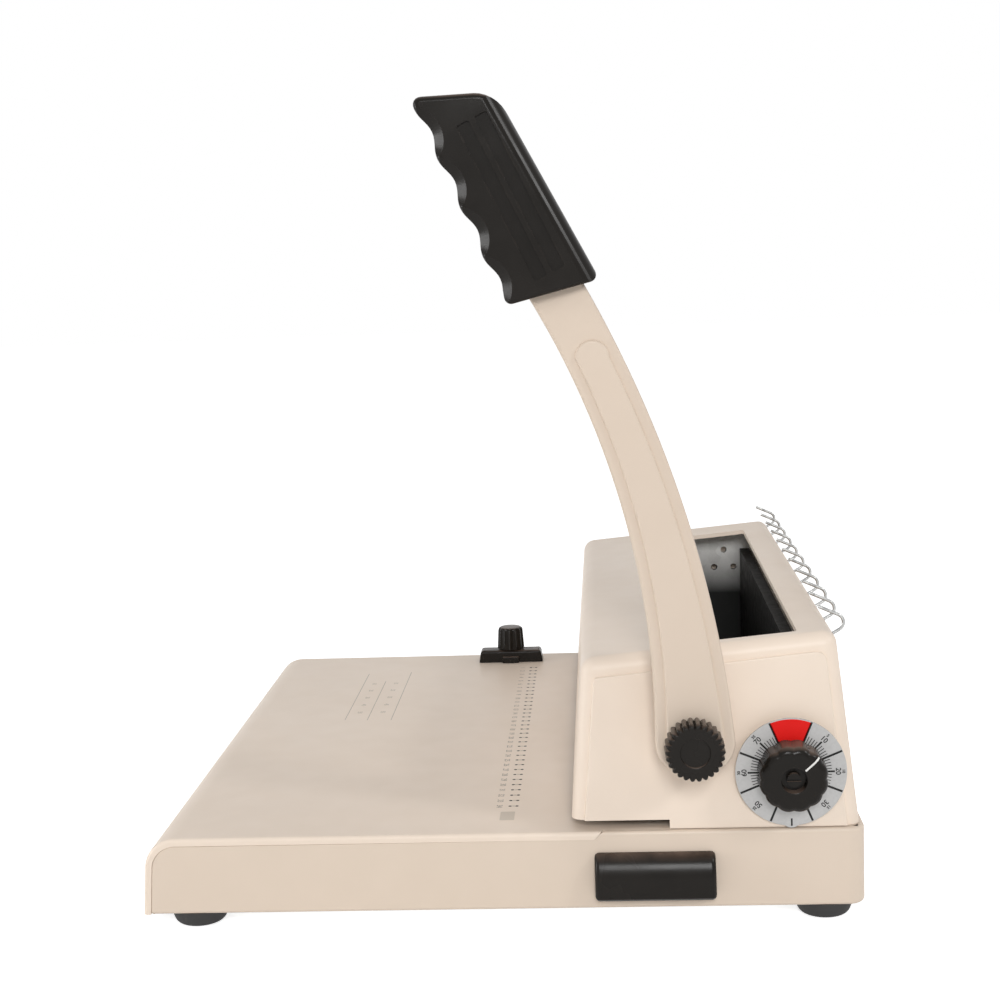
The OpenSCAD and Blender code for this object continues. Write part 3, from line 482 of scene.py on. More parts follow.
class Wiring:
    """Places and joins the nodes of one shader tree."""

    def __init__(self, tree: bpy.types.NodeTree) -> None:
        """Keep the tree."""
        self.tree = tree

    def add(self, kind: str, inputs: dict | None = None, **settings: object) -> Node:
        """Place a node.

        Args:
            kind: Type of the node.
            inputs: Values or sockets for its inputs.
            settings: Values for its own settings.

        Returns:
            The node.
        """
        node = self.tree.nodes.new(kind)
        for key, value in settings.items():
            setattr(node, key, value)
        for key, value in (inputs or {}).items():
            self.feed(node.inputs[key], value)
        return node

    def feed(self, socket: Socket, value: object) -> None:
        """Join a socket to another one, or set its value."""
        if isinstance(value, Socket):
            self.tree.links.new(value, socket)
        else:
            socket.default_value = value

    def place(self) -> Socket:
        """Return the place on the object, in its own coordinates."""
        return self.add("ShaderNodeTexCoord").outputs["Object"]

    def maths(self, operation: str, *values: object, clamp: bool = False) -> Socket:
        """Place a Math node and return its result."""
        inputs = dict(enumerate(values))
        return self.add("ShaderNodeMath", inputs, operation=operation, use_clamp=clamp).outputs[0]

    def noise(self, place: Socket, scale: object, detail: float) -> Socket:
        """Place a Noise Texture and return its value."""
        inputs = {"Vector": place, "Scale": scale, "Detail": detail}
        return self.add("ShaderNodeTexNoise", inputs).outputs["Fac"]

    def spread(self, value: object, low: float, high: float, to: Point = (0.0, 1.0)) -> Socket:
        """Map a range of values to another one, held at its ends."""
        inputs = {"Value": value, "From Min": low, "From Max": high, "To Min": to[0], "To Max": to[1]}
        return self.add("ShaderNodeMapRange", inputs).outputs["Result"]

    def mix(self, share: object, first: object, second: object) -> Socket:
        """Mix two colours and return the result."""
        inputs = {MIX_SHARE: share, MIX_FIRST: first, MIX_SECOND: second}
        return self.add("ShaderNodeMix", inputs, data_type="RGBA").outputs[MIX_RESULT]

    def height(self, vector: Socket) -> Socket:
        """Return the upright part of a vector."""
        return self.add("ShaderNodeSeparateXYZ", {"Vector": vector}).outputs["Z"]


class SharedGroup(Wiring):
    """The wiring of a node group that many materials share."""

    def __init__(self, name: str, inputs: Sequence[str], outputs: Sequence[str]) -> None:
        """Start the group.

        Args:
            name: Name of the group.
            inputs: Names of its inputs.
            outputs: Names of its outputs.
        """
        super().__init__(bpy.data.node_groups.new(name, "ShaderNodeTree"))
        for way, labels in (("INPUT", inputs), ("OUTPUT", outputs)):
            for label in labels:
                self.tree.interface.new_socket(label, in_out=way, socket_type="NodeSocketFloat")
        self.given = self.add("NodeGroupInput").outputs
        self.end = self.add("NodeGroupOutput").inputs

    def weigh(self, first: Socket, second: Socket, share: float) -> Socket:
        """Add a share of one value to the rest of another."""
        rest = self.maths("MULTIPLY", second, 1 - share)
        return self.maths("ADD", self.maths("MULTIPLY", first, share), rest)

    def mask(self, first: Socket, patch: Socket) -> None:
        """Send out a mask in patches, as strong as the material asks for."""
        patchy = self.maths("MULTIPLY", first, patch)
        self.feed(self.end["Mask"], self.maths("MULTIPLY", patchy, self.given["Amount"], clamp=True))


def grain_group(name: str) -> bpy.types.NodeTree:
    """Build the fine grain and slow tone of paint, plastic and rubber."""
    w = SharedGroup(name, ["Scale"], ["Height", "Tone"])
    place = w.place()
    w.feed(w.end["Height"], w.noise(place, w.given["Scale"], detail=2.0))
    broad, fine = w.noise(place, scale=9.0, detail=3.0), w.noise(place, scale=70.0, detail=2.0)
    w.feed(w.end["Tone"], w.spread(w.weigh(broad, fine, share=0.65), low=0.3, high=0.7))
    return w.tree


def wear_group(name: str) -> bpy.types.NodeTree:
    """Build the mask of worn edges."""
    w = SharedGroup(name, ["Radius", "Amount"], ["Mask"])
    soft = w.add("ShaderNodeBevel", {"Radius": w.given["Radius"]}, samples=4).outputs["Normal"]
    true = w.add("ShaderNodeNewGeometry").outputs["Normal"]
    same = w.add("ShaderNodeVectorMath", {0: soft, 1: true}, operation="DOT_PRODUCT").outputs["Value"]
    edges = w.spread(same, low=0.97, high=0.75)
    w.mask(edges, w.spread(w.noise(w.place(), scale=130.0, detail=4.0), low=0.42, high=0.62))
    return w.tree


def dust_and_sheen_group(name: str) -> bpy.types.NodeTree:
    """Build the mask of faces that look up, for dust and for painted sheen from light above."""
    w = SharedGroup(name, ["Amount"], ["Mask"])
    up = w.height(w.add("ShaderNodeNewGeometry").outputs["Normal"])
    tops = w.spread(up, low=0.5, high=1.0)
    w.mask(tops, w.spread(w.noise(w.place(), scale=38.0, detail=5.0), low=0.3, high=0.62))
    return w.tree


def rolled_group(name: str) -> bpy.types.NodeTree:
    """Build the drawn lines and crystal patches of sheet steel."""
    w = SharedGroup(name, ["Lines", "Patches"], ["Height", "Tone"])
    place = w.place()
    drawn = w.add("ShaderNodeMapping", {"Vector": place, "Scale": (0.06, 1.0, 1.0)}).outputs["Vector"]
    lines = w.noise(drawn, w.given["Lines"], detail=4.0)
    cells = w.add("ShaderNodeTexVoronoi", {"Vector": place, "Scale": w.given["Patches"]}).outputs["Color"]
    cell = w.add("ShaderNodeSeparateColor", {"Color": cells}).outputs[0]
    w.feed(w.end["Height"], lines)
    w.feed(w.end["Tone"], w.spread(w.weigh(lines, cell, share=0.5), low=0.25, high=0.8))
    return w.tree


GROUPS: dict[str, Callable[[str], bpy.types.NodeTree]] = {
    "surface grain": grain_group, "edge wear": wear_group, "settled dust": dust_and_sheen_group,
    "rolled steel": rolled_group}


def opaque(colour: Colour) -> tuple[float, float, float, float]:
    """Return a colour with full alpha."""
    return (*colour, 1.0)


def clear_wiring(owner: bpy.types.Material | bpy.types.World) -> Wiring:
    """Clear the nodes of a material or a world and return its wiring."""
    owner.use_nodes = True
    owner.node_tree.nodes.clear()
    return Wiring(owner.node_tree)


@dataclass(frozen=True)
class Finish:
    """A surface: its name, the record's slot for it and its two tones."""

    swing: ClassVar[Point] = (0.05, 0.05)
    name: str
    slot: str | None
    colour: Colour
    tone: Colour
    roughness: float

    def material(self) -> bpy.types.Material:
        """Return the material, made the first time it is asked for."""
        made = bpy.data.materials.get(self.name)
        if made:
            return made
        made = bpy.data.materials.new(self.name)
        w = clear_wiring(made)
        shader = w.add("ShaderNodeBsdfPrincipled")
        w.add("ShaderNodeOutputMaterial", {"Surface": shader.outputs["BSDF"]})
        self.dress(w, shader)
        return made

    def dress(self, w: Wiring, shader: Node) -> None:
        """Join the surface's nodes to its shader; each kind of finish has its own."""
        raise NotImplementedError

    def effect(self, w: Wiring, name: str, **values: object) -> bpy.types.NodeOutputs:
        """Place a shared effect in the material, with its own values, and return its outputs."""
        tree = bpy.data.node_groups.get(name) or GROUPS[name](name)
        return w.add("ShaderNodeGroup", values, node_tree=tree).outputs

    def body(self, w: Wiring, share: Socket) -> Socket:
        """Return the mixture of the two tones."""
        return w.mix(share, opaque(self.colour), opaque(self.tone))

    def coat(self, w: Wiring, shader: Node, colour: Socket, tone: Socket) -> None:
        """Give the shader its colour, and a roughness that swings about its middle with the tone."""
        w.feed(shader.inputs["Base Color"], colour)
        less, more = self.swing
        ends = (self.roughness - less, self.roughness + more)
        w.feed(shader.inputs["Roughness"], w.spread(tone, 0, 1, ends))

    def bump(self, w: Wiring, shader: Node, height: Socket, depth: float) -> None:
        """Give the shader a fine relief, its depth in metres."""
        relief = w.add("ShaderNodeBump", {"Height": height, "Distance": depth, "Strength": 1.0})
        w.feed(shader.inputs["Normal"], relief.outputs["Normal"])


@dataclass(frozen=True)
class Moulded(Finish):
    """Paint, plastic or rubber: grained, a little worn at its edges, and lighter on top with dust and painted
    sheen.
    """

    swing: ClassVar[Point] = (0.05, 0.07)
    worn: Colour
    grain: float = 900.0
    depth: float = 0.00002
    wear: float = 0.25
    dust: float = 0.04
    specular: float = 0.35
    dust_and_sheen_colour: Colour = (0.52, 0.48, 0.43)
    wear_reach: float = 0.0012

    def dress(self, w: Wiring, shader: Node) -> None:
        """Join grain, wear, and dust with painted sheen, to the shader."""
        grain = self.effect(w, "surface grain", Scale=self.grain)
        wear = self.effect(w, "edge wear", Radius=self.wear_reach, Amount=self.wear)
        dust = self.effect(w, "settled dust", Amount=self.dust)
        rubbed = w.mix(wear["Mask"], self.body(w, grain["Tone"]), opaque(self.worn))
        whole = w.mix(dust["Mask"], rubbed, opaque(self.dust_and_sheen_colour))
        self.coat(w, shader, whole, grain["Tone"])
        shader.inputs["Specular IOR Level"].default_value = self.specular
        self.bump(w, shader, grain["Height"], self.depth)


@dataclass(frozen=True)
class Metal(Finish):
    """Bare or plated metal with drawn lines and patches; painted shade, darker towards the bottom, can fade out
    between two heights.
    """

    swing: ClassVar[Point] = (0.06, 0.1)
    lines: float
    patches: float
    depth: float
    metallic: float = 1.0
    shade_heights: Point | None = None
    oil: Colour = (0.006, 0.006, 0.0055)

    def dress(self, w: Wiring, shader: Node) -> None:
        """Join the rolled surface and its painted shade to the shader."""
        rolled = self.effect(w, "rolled steel", Lines=self.lines, Patches=self.patches)
        body = self.body(w, rolled["Tone"])
        if self.shade_heights:
            body = w.mix(w.spread(w.height(w.place()), *self.shade_heights), opaque(self.oil), body)
        self.coat(w, shader, body, rolled["Tone"])
        shader.inputs["Metallic"].default_value = self.metallic
        self.bump(w, shader, rolled["Height"], self.depth)


@dataclass(frozen=True)
class Ink(Finish):
    """Printed ink, a little uneven."""

    grain: float = 1500.0
    specular: float = 0.2

    def dress(self, w: Wiring, shader: Node) -> None:
        """Join the uneven print to the shader."""
        grain = self.effect(w, "surface grain", Scale=self.grain)
        self.coat(w, shader, self.body(w, grain["Height"]), grain["Tone"])
        shader.inputs["Specular IOR Level"].default_value = self.specular


CREAM = Moulded("cream paint", "cream_paint", (0.82, 0.70, 0.59), (0.79, 0.67, 0.56), 0.42,
                (0.86, 0.76, 0.66))
LEVER = Moulded("lever paint", "cream_paint", (0.665, 0.555, 0.455), (0.645, 0.535, 0.435), 0.40,
                (0.84, 0.73, 0.62), grain=1100.0)
# The base and drawer front: the cream paint darkened as painted shade, because the upright base side gets less
# light from above than the leaning cover.
BASE_WITH_PAINTED_SHADE = Moulded("base paint", "cream_paint", (0.715, 0.60, 0.495), (0.69, 0.58, 0.475), 0.42,
               (0.82, 0.72, 0.62))
# Black plastic: its brown dust-and-sheen colour, strong on faces that look up, is a painted sheen from light above
# more than dust.
BLACK = Moulded("black plastic", "black_plastic", (0.009, 0.0075, 0.006), (0.013, 0.0105, 0.0085), 0.25,
                (0.05, 0.040, 0.032), grain=1600.0, depth=0.000012, wear=0.4, dust=0.9, specular=0.14,
                dust_and_sheen_colour=(0.15, 0.105, 0.082))
RUBBER = Moulded("foot rubber", "foot_rubber", (0.022, 0.022, 0.022), (0.032, 0.031, 0.030), 0.75,
                 (0.06, 0.058, 0.055), grain=1200.0, depth=0.00004, wear=0.3, dust=0.1, specular=0.5)
ZINC = Metal("zinc-plated steel", "zinc_steel", (0.60, 0.59, 0.565), (0.80, 0.79, 0.765), 0.48,
             lines=700.0, patches=160.0, depth=0.00002, metallic=0.5)
# Frame plates seen through the window: a lighter copy of the zinc steel that stands for light falling in through
# the window, with painted shade below the given heights, where the cavity is in shade.
FRAME = Metal("oiled frame steel", "zinc_steel", (0.84, 0.83, 0.80), (0.97, 0.96, 0.93), 0.48,
              lines=700.0, patches=160.0, depth=0.00002, metallic=0.3, shade_heights=(0.088, 0.116))
BRIGHT = Metal("bright steel", "bright_steel", (0.44, 0.44, 0.43), (0.54, 0.54, 0.53), 0.25,
               lines=1400.0, patches=500.0, depth=0.000005)
DARK = Metal("dark steel", "dark_steel", (0.016, 0.015, 0.014), (0.026, 0.025, 0.024), 0.5,
             lines=900.0, patches=220.0, depth=0.00001, metallic=0.6)
BRONZE = Metal("bearing bronze", "bearing_bronze", (0.55, 0.36, 0.17), (0.66, 0.46, 0.25), 0.35,
               lines=900.0, patches=250.0, depth=0.00001)
SILVER = Metal("dial silver", "dial_face", (0.43, 0.425, 0.42), (0.47, 0.465, 0.46), 0.42,
               lines=2200.0, patches=900.0, depth=0.000004, metallic=0.3)
WIRE = Metal("hook wire", "bright_steel", (0.34, 0.34, 0.335), (0.50, 0.50, 0.49), 0.25,
             lines=1400.0, patches=500.0, depth=0.000005)
BLACK_INK = Ink("black ink", None, (0.012, 0.012, 0.012), (0.022, 0.021, 0.020), 0.55)
RED_INK = Ink("red ink", None, (0.80, 0.008, 0.006), (0.72, 0.007, 0.005), 0.45)
WHITE_INK = Ink("white ink", None, (0.80, 0.79, 0.76), (0.74, 0.73, 0.70), 0.5)
GREY_INK = Ink("grey ink", None, (0.30, 0.275, 0.25), (0.34, 0.31, 0.28), 0.6)
PALE_INK = Ink("pale ink", None, (0.60, 0.53, 0.455), (0.64, 0.565, 0.48), 0.6)
FAINT_INK = Ink("faint ink", None, (0.46, 0.41, 0.36), (0.50, 0.45, 0.39), 0.6)
SLOT_FINISHES = {f.slot: f for f in (CREAM, BLACK, RUBBER, ZINC, BRIGHT, DARK, BRONZE, SILVER)}
# The dial screw takes black plastic as painted shade, to stand for the dark inside the knob's recess.
OWN_FINISHES = {"base_tray": BASE_WITH_PAINTED_SHADE, "lever_arm": LEVER, "wire_hooks": WIRE, "dial_screw": BLACK,
                "left_frame": FRAME, "right_frame": FRAME}


# Sub-assemblies

@dataclass
class BaseUnit:
    """The bent table sheet, the tray that carries it and the feet below."""

    bend: float = 15.0
    bend_steps: int = 12
    bend_slack: float = 0.1
    front_lean: float = radians(4.5)
    front_top: float = 1.7
    sheet_end: float = 45.0
    sheet_edge: float = 1.8
    sheet_gap: float = 0.2
    sheet_lap: float = 2.0
    seam: float = 0.1
    seam_edge: float = 0.6
    wall: float = 3.0
    rear_corner: float = 8.0
    top_edge: float = 1.5
    bottom_edge: float = 1.6
    mouth_gap: float = 0.5
    mouth_shift: float = 9.0
    die_slot: Triple = (291.5, 8.1, 0.5)
    guide_slot: Triple = (16.6, 5.6, 2.7)
    foot_place: float = 13.0
    foot_radius: float = 14.5
    foot_taper: float = 0.8
    foot_lip: float = 4.0
    foot_recess: float = 3.0
    foot_edges: Point = (2.4, 0.8)
    low: Vector = field(init=False)
    high: Vector = field(init=False)
    depth: float = field(init=False)
    floor: float = field(init=False)

    def build(self) -> None:
        """Make and dress all of the unit."""
        self.low, self.high = span("table_top")
        self.depth = self.high.z - self.low.z
        self.floor = span("base_tray")[0].z
        self.tray()
        self.table()
        self.feet()

    def bend_middle(self) -> Vector:
        """Return the middle of the front bend."""
        z = self.high.z - self.bend
        rise = (z - self.floor) * sin(self.front_lean)
        return Vector((self.low.y + (self.bend + rise) / cos(self.front_lean), z))

    def front_line(self, depth: float) -> list[Point]:
        """Return the sheet's front bend and leaning front from the top down, at a depth below its outside."""
        middle, radius = self.bend_middle(), self.bend - depth
        quarter = pi / 2 - self.front_lean
        turns = spaced(0, quarter, self.bend_steps + 1)
        curve = [(middle.x - radius * sin(a), middle.y + radius * cos(a)) for a in turns]
        return [*curve, (self.low.y + depth / cos(self.front_lean), self.floor)]

    def rim(self, depth: float, sides: Point) -> Test:
        """Return a test for edges of a side that follow the bent sheet.

        Args:
            depth: Depth of the edges below the outside of the sheet.
            sides: Where the two sides lie across the machine.

        Returns:
            A test for edges.
        """
        middle, radius = self.bend_middle(), self.bend - depth
        forward = Vector((-cos(self.front_lean), sin(self.front_lean)))

        def follows(point: Vector) -> bool:
            """Say whether a point lies on the sheet's outline."""
            way = point.yz - middle
            curved = way.x < self.bend_slack and way.y > 0 and abs(way.length - radius) < 2 * NEAR
            flat = way.x > -self.bend_slack and abs(way.y - radius) < NEAR
            return curved or flat or way.y < self.front_top and abs(way.dot(forward) - radius) < 2 * NEAR
        return lambda edge: all(follows(v.co) for v in edge.verts) and level(X, *sides)(edge)

    def tray(self) -> None:
        """Model the open tray with the drawer's mouth in its side."""
        low, high = span("base_tray")
        top, end = self.high.z, self.sheet_end
        profile = [(high.y, low.z), (high.y, top), (end + self.depth, top), (end, high.z),
                   *self.front_line(self.depth)]
        sides = (low.x + self.seam, high.x - self.seam)
        piece = slab("base_shell", profile, *sides)
        round_edges(piece, both(along(Z), level(Y, high.y)), self.rear_corner, steps=8)
        round_edges(piece, level(Z, top), self.top_edge)
        round_edges(piece, self.rim(self.depth, sides), self.seam_edge, steps=3)
        round_edges(piece, level(Z, low.z), self.bottom_edge)
        hollow = block("hollow", (low.x + self.wall, self.bend_middle().x, low.z - PAST),
                       (high.x - self.wall, high.y - self.wall, top + PAST))
        round_edges(hollow, along(Z), self.rear_corner - self.wall, steps=8)
        combine(piece, hollow, Work.CUT)
        drawer_low, drawer_high = span("chip_tray")
        gap = Vector((0, self.mouth_gap, self.mouth_gap))
        mouth = block("mouth", drawer_low - gap, drawer_high + gap)
        put(mouth, Matrix.Translation((self.mouth_shift, 0, 0)))
        combine(piece, mouth, Work.CUT)
        finish_piece(piece, "root", BASE_WITH_PAINTED_SHADE, "base_tray")

    def table(self) -> None:
        """Model the sheet that is the table and bends down over the front, with its two slots."""
        low, high, end = self.low, self.high, self.sheet_end - self.sheet_gap
        profile = [(end + self.depth, high.z), *self.front_line(0), *reversed(self.front_line(self.depth)),
                   (end, low.z)]
        piece = slab("table_plate", profile, low.x, high.x)
        round_edges(piece, self.rim(0, (low.x, high.x)), self.sheet_edge, steps=5)
        inset = self.wall + self.sheet_gap
        tongue = block("tongue", (low.x + inset, end - self.sheet_lap, low.z),
                       (high.x - inset, high.y - inset, high.z))
        combine(piece, tongue, Work.WELD)
        punch_low, punch_high = span("punches")
        self.slot(piece, (punch_low + punch_high) / 2, self.die_slot)
        self.slot(piece, pivot("guide_knob_turn"), self.guide_slot)
        finish_piece(piece, "root", CREAM, "table_top")

    def slot(self, piece: Piece, middle: Vector, size: Triple) -> None:
        """Cut a slot through the table; its size is a length, a width and the rounding of its corners."""
        long, wide, rounding = size
        half = Vector((long / 2, wide / 2, 0))
        start = Vector((middle.x, middle.y, self.low.z - PAST)) - half
        tool = block("slot", start, Vector((middle.x, middle.y, self.high.z + PAST)) + half)
        round_edges(tool, along(Z), rounding, steps=5)
        combine(piece, tool, Work.CUT)

    def feet(self) -> None:
        """Model one bowl-shaped foot and copy it to the four corners."""
        low, high = span("feet")
        inset = self.foot_place
        places = [Matrix.Translation((x, y, 0)) for x in (low.x + inset, high.x - inset)
                  for y in (low.y + inset, high.y - inset)]
        foot = rod_z("foot", self.foot_radius, 0, high.z, sides=48)
        with editing(foot):
            pick(foot, Part.FACE, facing(DOWN))
            bpy.ops.transform.resize(value=(self.foot_taper, self.foot_taper, 1), center_override=(0, 0, 0))
            bpy.ops.mesh.inset(thickness=self.foot_lip)
            extrude((0, 0, self.foot_recess))
        inside = self.foot_radius * self.foot_taper - self.foot_lip / 2
        lower, upper = self.foot_edges
        round_edges(foot, both(level(Z, 0), lambda edge: edge.verts[0].co.xy.length > inside), lower, steps=5)
        round_edges(foot, level(Z, high.z), upper, steps=3)
        set_out(foot, places, RUBBER, "feet")


@dataclass
class TablePrint:
    """Marks printed on the table: one for each punch, with plain figures and a plain scale."""

    rise: float = 0.04
    edge: float = 0.03
    count: int = 34
    punch_side: float = 4.0
    dot: float = 0.8
    dot_rows: Point = (3.7, 7.1)
    square: Point = (1.8, 1.6)
    figure_y: float = -1.6
    figure_size: float = 4.2
    patch_low: Point = (134.45, -0.4)
    patch_high: Point = (146.95, 6.6)
    patch_corner: float = 0.6
    scale_lines: tuple[Triple, ...] = (
        (-101.3, -145.9, -36.2), (-88.0, -125.8, -34.9), (-73.9, -147.9, -33.9))
    scale_line: float = 0.2
    scale_start: float = -120.0
    scale_pitch: float = 17.0
    scale_count: int = 5
    scale_size: float = 4.0
    scale_values: tuple[int, int] = (10, 5)
    top: float = field(init=False)
    row: list[float] = field(init=False)

    def build(self) -> None:
        """Print all of the marks."""
        low, high = span("punches")
        self.top = span("table_top")[1].z
        self.row = spaced(low.x + self.punch_side / 2, high.x - self.punch_side / 2, self.count)
        self.marks()
        self.patch()
        self.scale()

    def rectangle(self, name: str, low: Point, high: Point) -> Piece:
        """Return a printed rectangle between two corners."""
        return block(name, (*low, self.top - self.rise), (*high, self.top + self.rise))

    def figures(self, name: str, size: float, finish: Ink,
                numbers: Iterable[tuple[int, float, float]]) -> None:
        """Print plain numbers.

        Args:
            name: Name of the new piece.
            size: Height of a line.
            finish: The ink.
            numbers: Each number with its two places on the table.
        """
        made = [lettering(name, str(number), size, Matrix.Translation((x, y, self.top)), self.rise)
                for number, x, y in numbers]
        finish_piece(unite(made), "root", finish)

    def marks(self) -> None:
        """Print two dots, the faint square between them and a number for each punch."""
        places = [Matrix.Translation((x, 0, 0)) for x in self.row]
        dots = [rod_z("row_dots", self.dot, self.top - self.rise, self.top + self.rise, (0, y), sides=14)
                for y in self.dot_rows]
        finish_piece(repeat(unite(dots), places), "root", BLACK_INK)
        middle = sum(self.dot_rows) / 2
        x, y = self.square[0] / 2, self.square[1] / 2
        square = self.rectangle("row_squares", (-x, middle - y), (x, middle + y))
        soften(square, self.edge, steps=1)
        finish_piece(repeat(square, places), "root", PALE_INK)
        self.figures("row_figures", self.figure_size, GREY_INK,
                     [(n, x, self.figure_y) for n, x in enumerate(self.row, 1)])

    def patch(self) -> None:
        """Print the plain grey patch beyond the near end of the row."""
        patch = self.rectangle("row_patch", self.patch_low, self.patch_high)
        round_edges(patch, along(Z), self.patch_corner, steps=3)
        finish_piece(patch, "root", PALE_INK)

    def scale(self) -> None:
        """Print a plain scale: three lines with figures between them."""
        half = self.scale_line
        lines = [self.rectangle("scale_lines", (x0, y - half), (x1, y + half))
                 for y, x0, x1 in self.scale_lines]
        for line in lines:
            soften(line, self.edge, steps=1)
        finish_piece(unite(lines), "root", FAINT_INK)
        rows = [(line[0] + after[0]) / 2 for line, after in zip(self.scale_lines, self.scale_lines[1:])]
        step, shift = self.scale_values
        self.figures("scale_figures", self.scale_size, FAINT_INK,
                     [(step * (i + 1) + shift * row, self.scale_start + self.scale_pitch * i, y)
                      for row, y in enumerate(rows) for i in range(self.scale_count)])


@dataclass
class Cover:
    """The painted housing over the mechanism."""

    side_gap: float = 4.0
    front: float = 34.0
    rear_gap: float = 2.0
    front_height: float = 79.0
    rear_height: float = 89.6
    side_lean: float = radians(6.7)
    front_lean: float = radians(5.0)
    rear_lean: float = radians(5.7)
    rough_spare: Triple = (9.0, 12.0, 200.0)
    wall: float = 2.5
    edge: float = 6.0
    line: float = 0.3
    past: float = 20.0
    throat: float = 4.6
    notch: float = 80.0
    panel_rise: float = 1.5
    panel_root: float = 1.0
    panel_border: float = 6.0
    panel_drop: float = 8.0
    panel_edge: float = 0.9
    panel_corners: Point = (5.0, 2.0)
    window_x: Point = (46.4, 23.6)
    window_y: Point = (100.0, 142.0)
    window_z: Point = (60.0, 120.0)
    window_corner: float = 1.5
    shaft_hole: float = 11.0
    dial_hole: float = 6.0
    boss: float = 20.0
    boss_ends: Point = (9.0, 0.05)
    screw: Point = (4.0, 2.4)
    screw_edge: float = 1.0
    screw_cross: Triple = (0.62, 0.17, 1.1)
    screw_count: int = 4
    table: float = field(init=False)
    left: float = field(init=False)
    right: float = field(init=False)
    middle: float = field(init=False)
    back: float = field(init=False)

    def build(self) -> None:
        """Make and dress the housing."""
        low, high = span("table_top")
        self.table = high.z
        self.left, self.right = low.x + self.side_gap, high.x - self.side_gap
        self.middle = (low.x + high.x) / 2
        self.back = high.y - self.rear_gap
        piece = self.shell()
        for panel in self.panels():
            combine(piece, panel, Work.WELD)
        self.openings(piece)
        finish_piece(piece, "root", CREAM, "body_cover", angle=40.0)
        self.screws()

    def screws(self) -> None:
        """Model one cross-slotted screw head and copy it along the rear."""
        low, high = span("cover_screws")
        radius, deep = self.screw
        head = rod_z("cover_screw", radius, 0, deep, sides=40)
        round_edges(head, level(Z, deep), self.screw_edge)
        long, wide, sunk = self.screw_cross
        long, wide = long * radius, wide * radius
        for x, y in ((long, wide), (wide, long)):
            combine(head, block("cross", (-x, -y, deep - sunk), (x, y, deep + PAST)), Work.CUT)
        y = high.y - deep * cos(self.rear_lean) - radius * sin(self.rear_lean)
        z = (low.z + high.z) / 2
        turned = Matrix.Rotation(self.rear_lean - pi / 2, 4, "X")
        row = spaced(low.x + radius, high.x - radius, self.screw_count)
        set_out(head, [Matrix.Translation((x, y, z)) @ turned for x in row], BRIGHT, "cover_screws")

    def shell(self) -> Piece:
        """Model the hollow housing from its five leaning faces."""
        spare, skirt, top = self.rough_spare
        base = self.table - skirt
        piece = block("cover_shell", (self.left - spare, self.front - spare, base),
                      (self.right + spare, self.back + spare, top))
        top_front = Vector((0, self.front + self.front_height * tan(self.front_lean),
                            self.table + self.front_height))
        top_rear = Vector((0, self.back - self.rear_height * tan(self.rear_lean),
                           self.table + self.rear_height))
        slope = top_rear - top_front
        side, front, rear = self.side_lean, self.front_lean, self.rear_lean
        for at, outward in (
                ((self.right, 0, self.table), (cos(side), 0, sin(side))),
                ((self.left, 0, self.table), (-cos(side), 0, sin(side))),
                ((0, self.front, self.table), (0, -cos(front), sin(front))),
                ((0, self.back, self.table), (0, cos(rear), sin(rear))),
                (top_front, Vector((0, -slope.z, slope.y)).normalized())):
            slice_off(piece, Vector(at), Vector(outward))
        round_edges(piece, other(level(Z, base)), self.edge, steps=7)
        with editing(piece):
            pick(piece, Part.FACE, facing(DOWN))
            bpy.ops.mesh.delete(type="FACE")
        slice_off(piece, Vector((0, 0, self.table + self.line)), DOWN, fill=False)
        modify(piece, "SOLIDIFY", thickness=self.wall, offset=-1, use_even_offset=True)
        return piece

    def panels(self) -> list[Piece]:
        """Model the raised panel of the right side and mirror it to the left."""
        front, back = self.front + self.panel_border, self.back - self.panel_border
        low = self.line
        high_front, high_back = self.front_height - self.panel_drop, self.rear_height - self.panel_drop
        corners = [
            (front, low), (back, low), (back - high_back * tan(self.rear_lean), high_back),
            (front + high_front * tan(self.front_lean), high_front)]
        right = slab("panel", corners, -self.panel_root, self.panel_rise)
        for corner, radius in zip(corners[2:], self.panel_corners):
            round_edges(right, across_at(corner), radius, steps=6)
        round_edges(right, both(level(X, self.panel_rise), other(level(Z, low))), self.panel_edge, steps=3)
        put(right, Matrix.Translation((self.right, 0, self.table)) @ Matrix.Rotation(-self.side_lean, 4, "Y"))
        mirror = Matrix.Translation((2 * self.middle, 0, 0)) @ Matrix.Scale(-1, 4, (1, 0, 0))
        left = copy_to(right, mirror, "panel_left")
        with editing(left):
            turn_outward()
        return [right, left]

    def openings(self, piece: Piece) -> None:
        """Weld on the dial's boss, and cut the throat, the window and the holes of shaft and dial."""
        dial, shaft = pivot("dial_turn"), pivot("lever_swing")
        face = span("dial_plate")[0].x
        rear, gap = self.boss_ends
        boss = rod_x("boss", self.boss, face - rear, face - gap, (dial.y, dial.z), sides=72)
        combine(piece, boss, Work.WELD)
        past = self.past
        throat = block("throat", (self.left - past, self.front - past, self.table - past),
                       (self.right + past, self.notch, self.table + self.throat))
        combine(piece, throat, Work.CUT)
        (x0, x1), (y0, y1), (z0, z1) = self.window_x, self.window_y, self.window_z
        window = block("window", (self.left - self.side_gap + x0, y0, self.table + z0),
                       (self.right + self.side_gap - x1, y1, self.table + z1))
        round_edges(window, along(Z), self.window_corner)
        combine(piece, window, Work.CUT)
        for at, radius in ((shaft, self.shaft_hole), (dial, self.dial_hole)):
            combine(piece, rod_x("hole", radius, self.middle, self.right + past, (at.y, at.z)), Work.CUT)


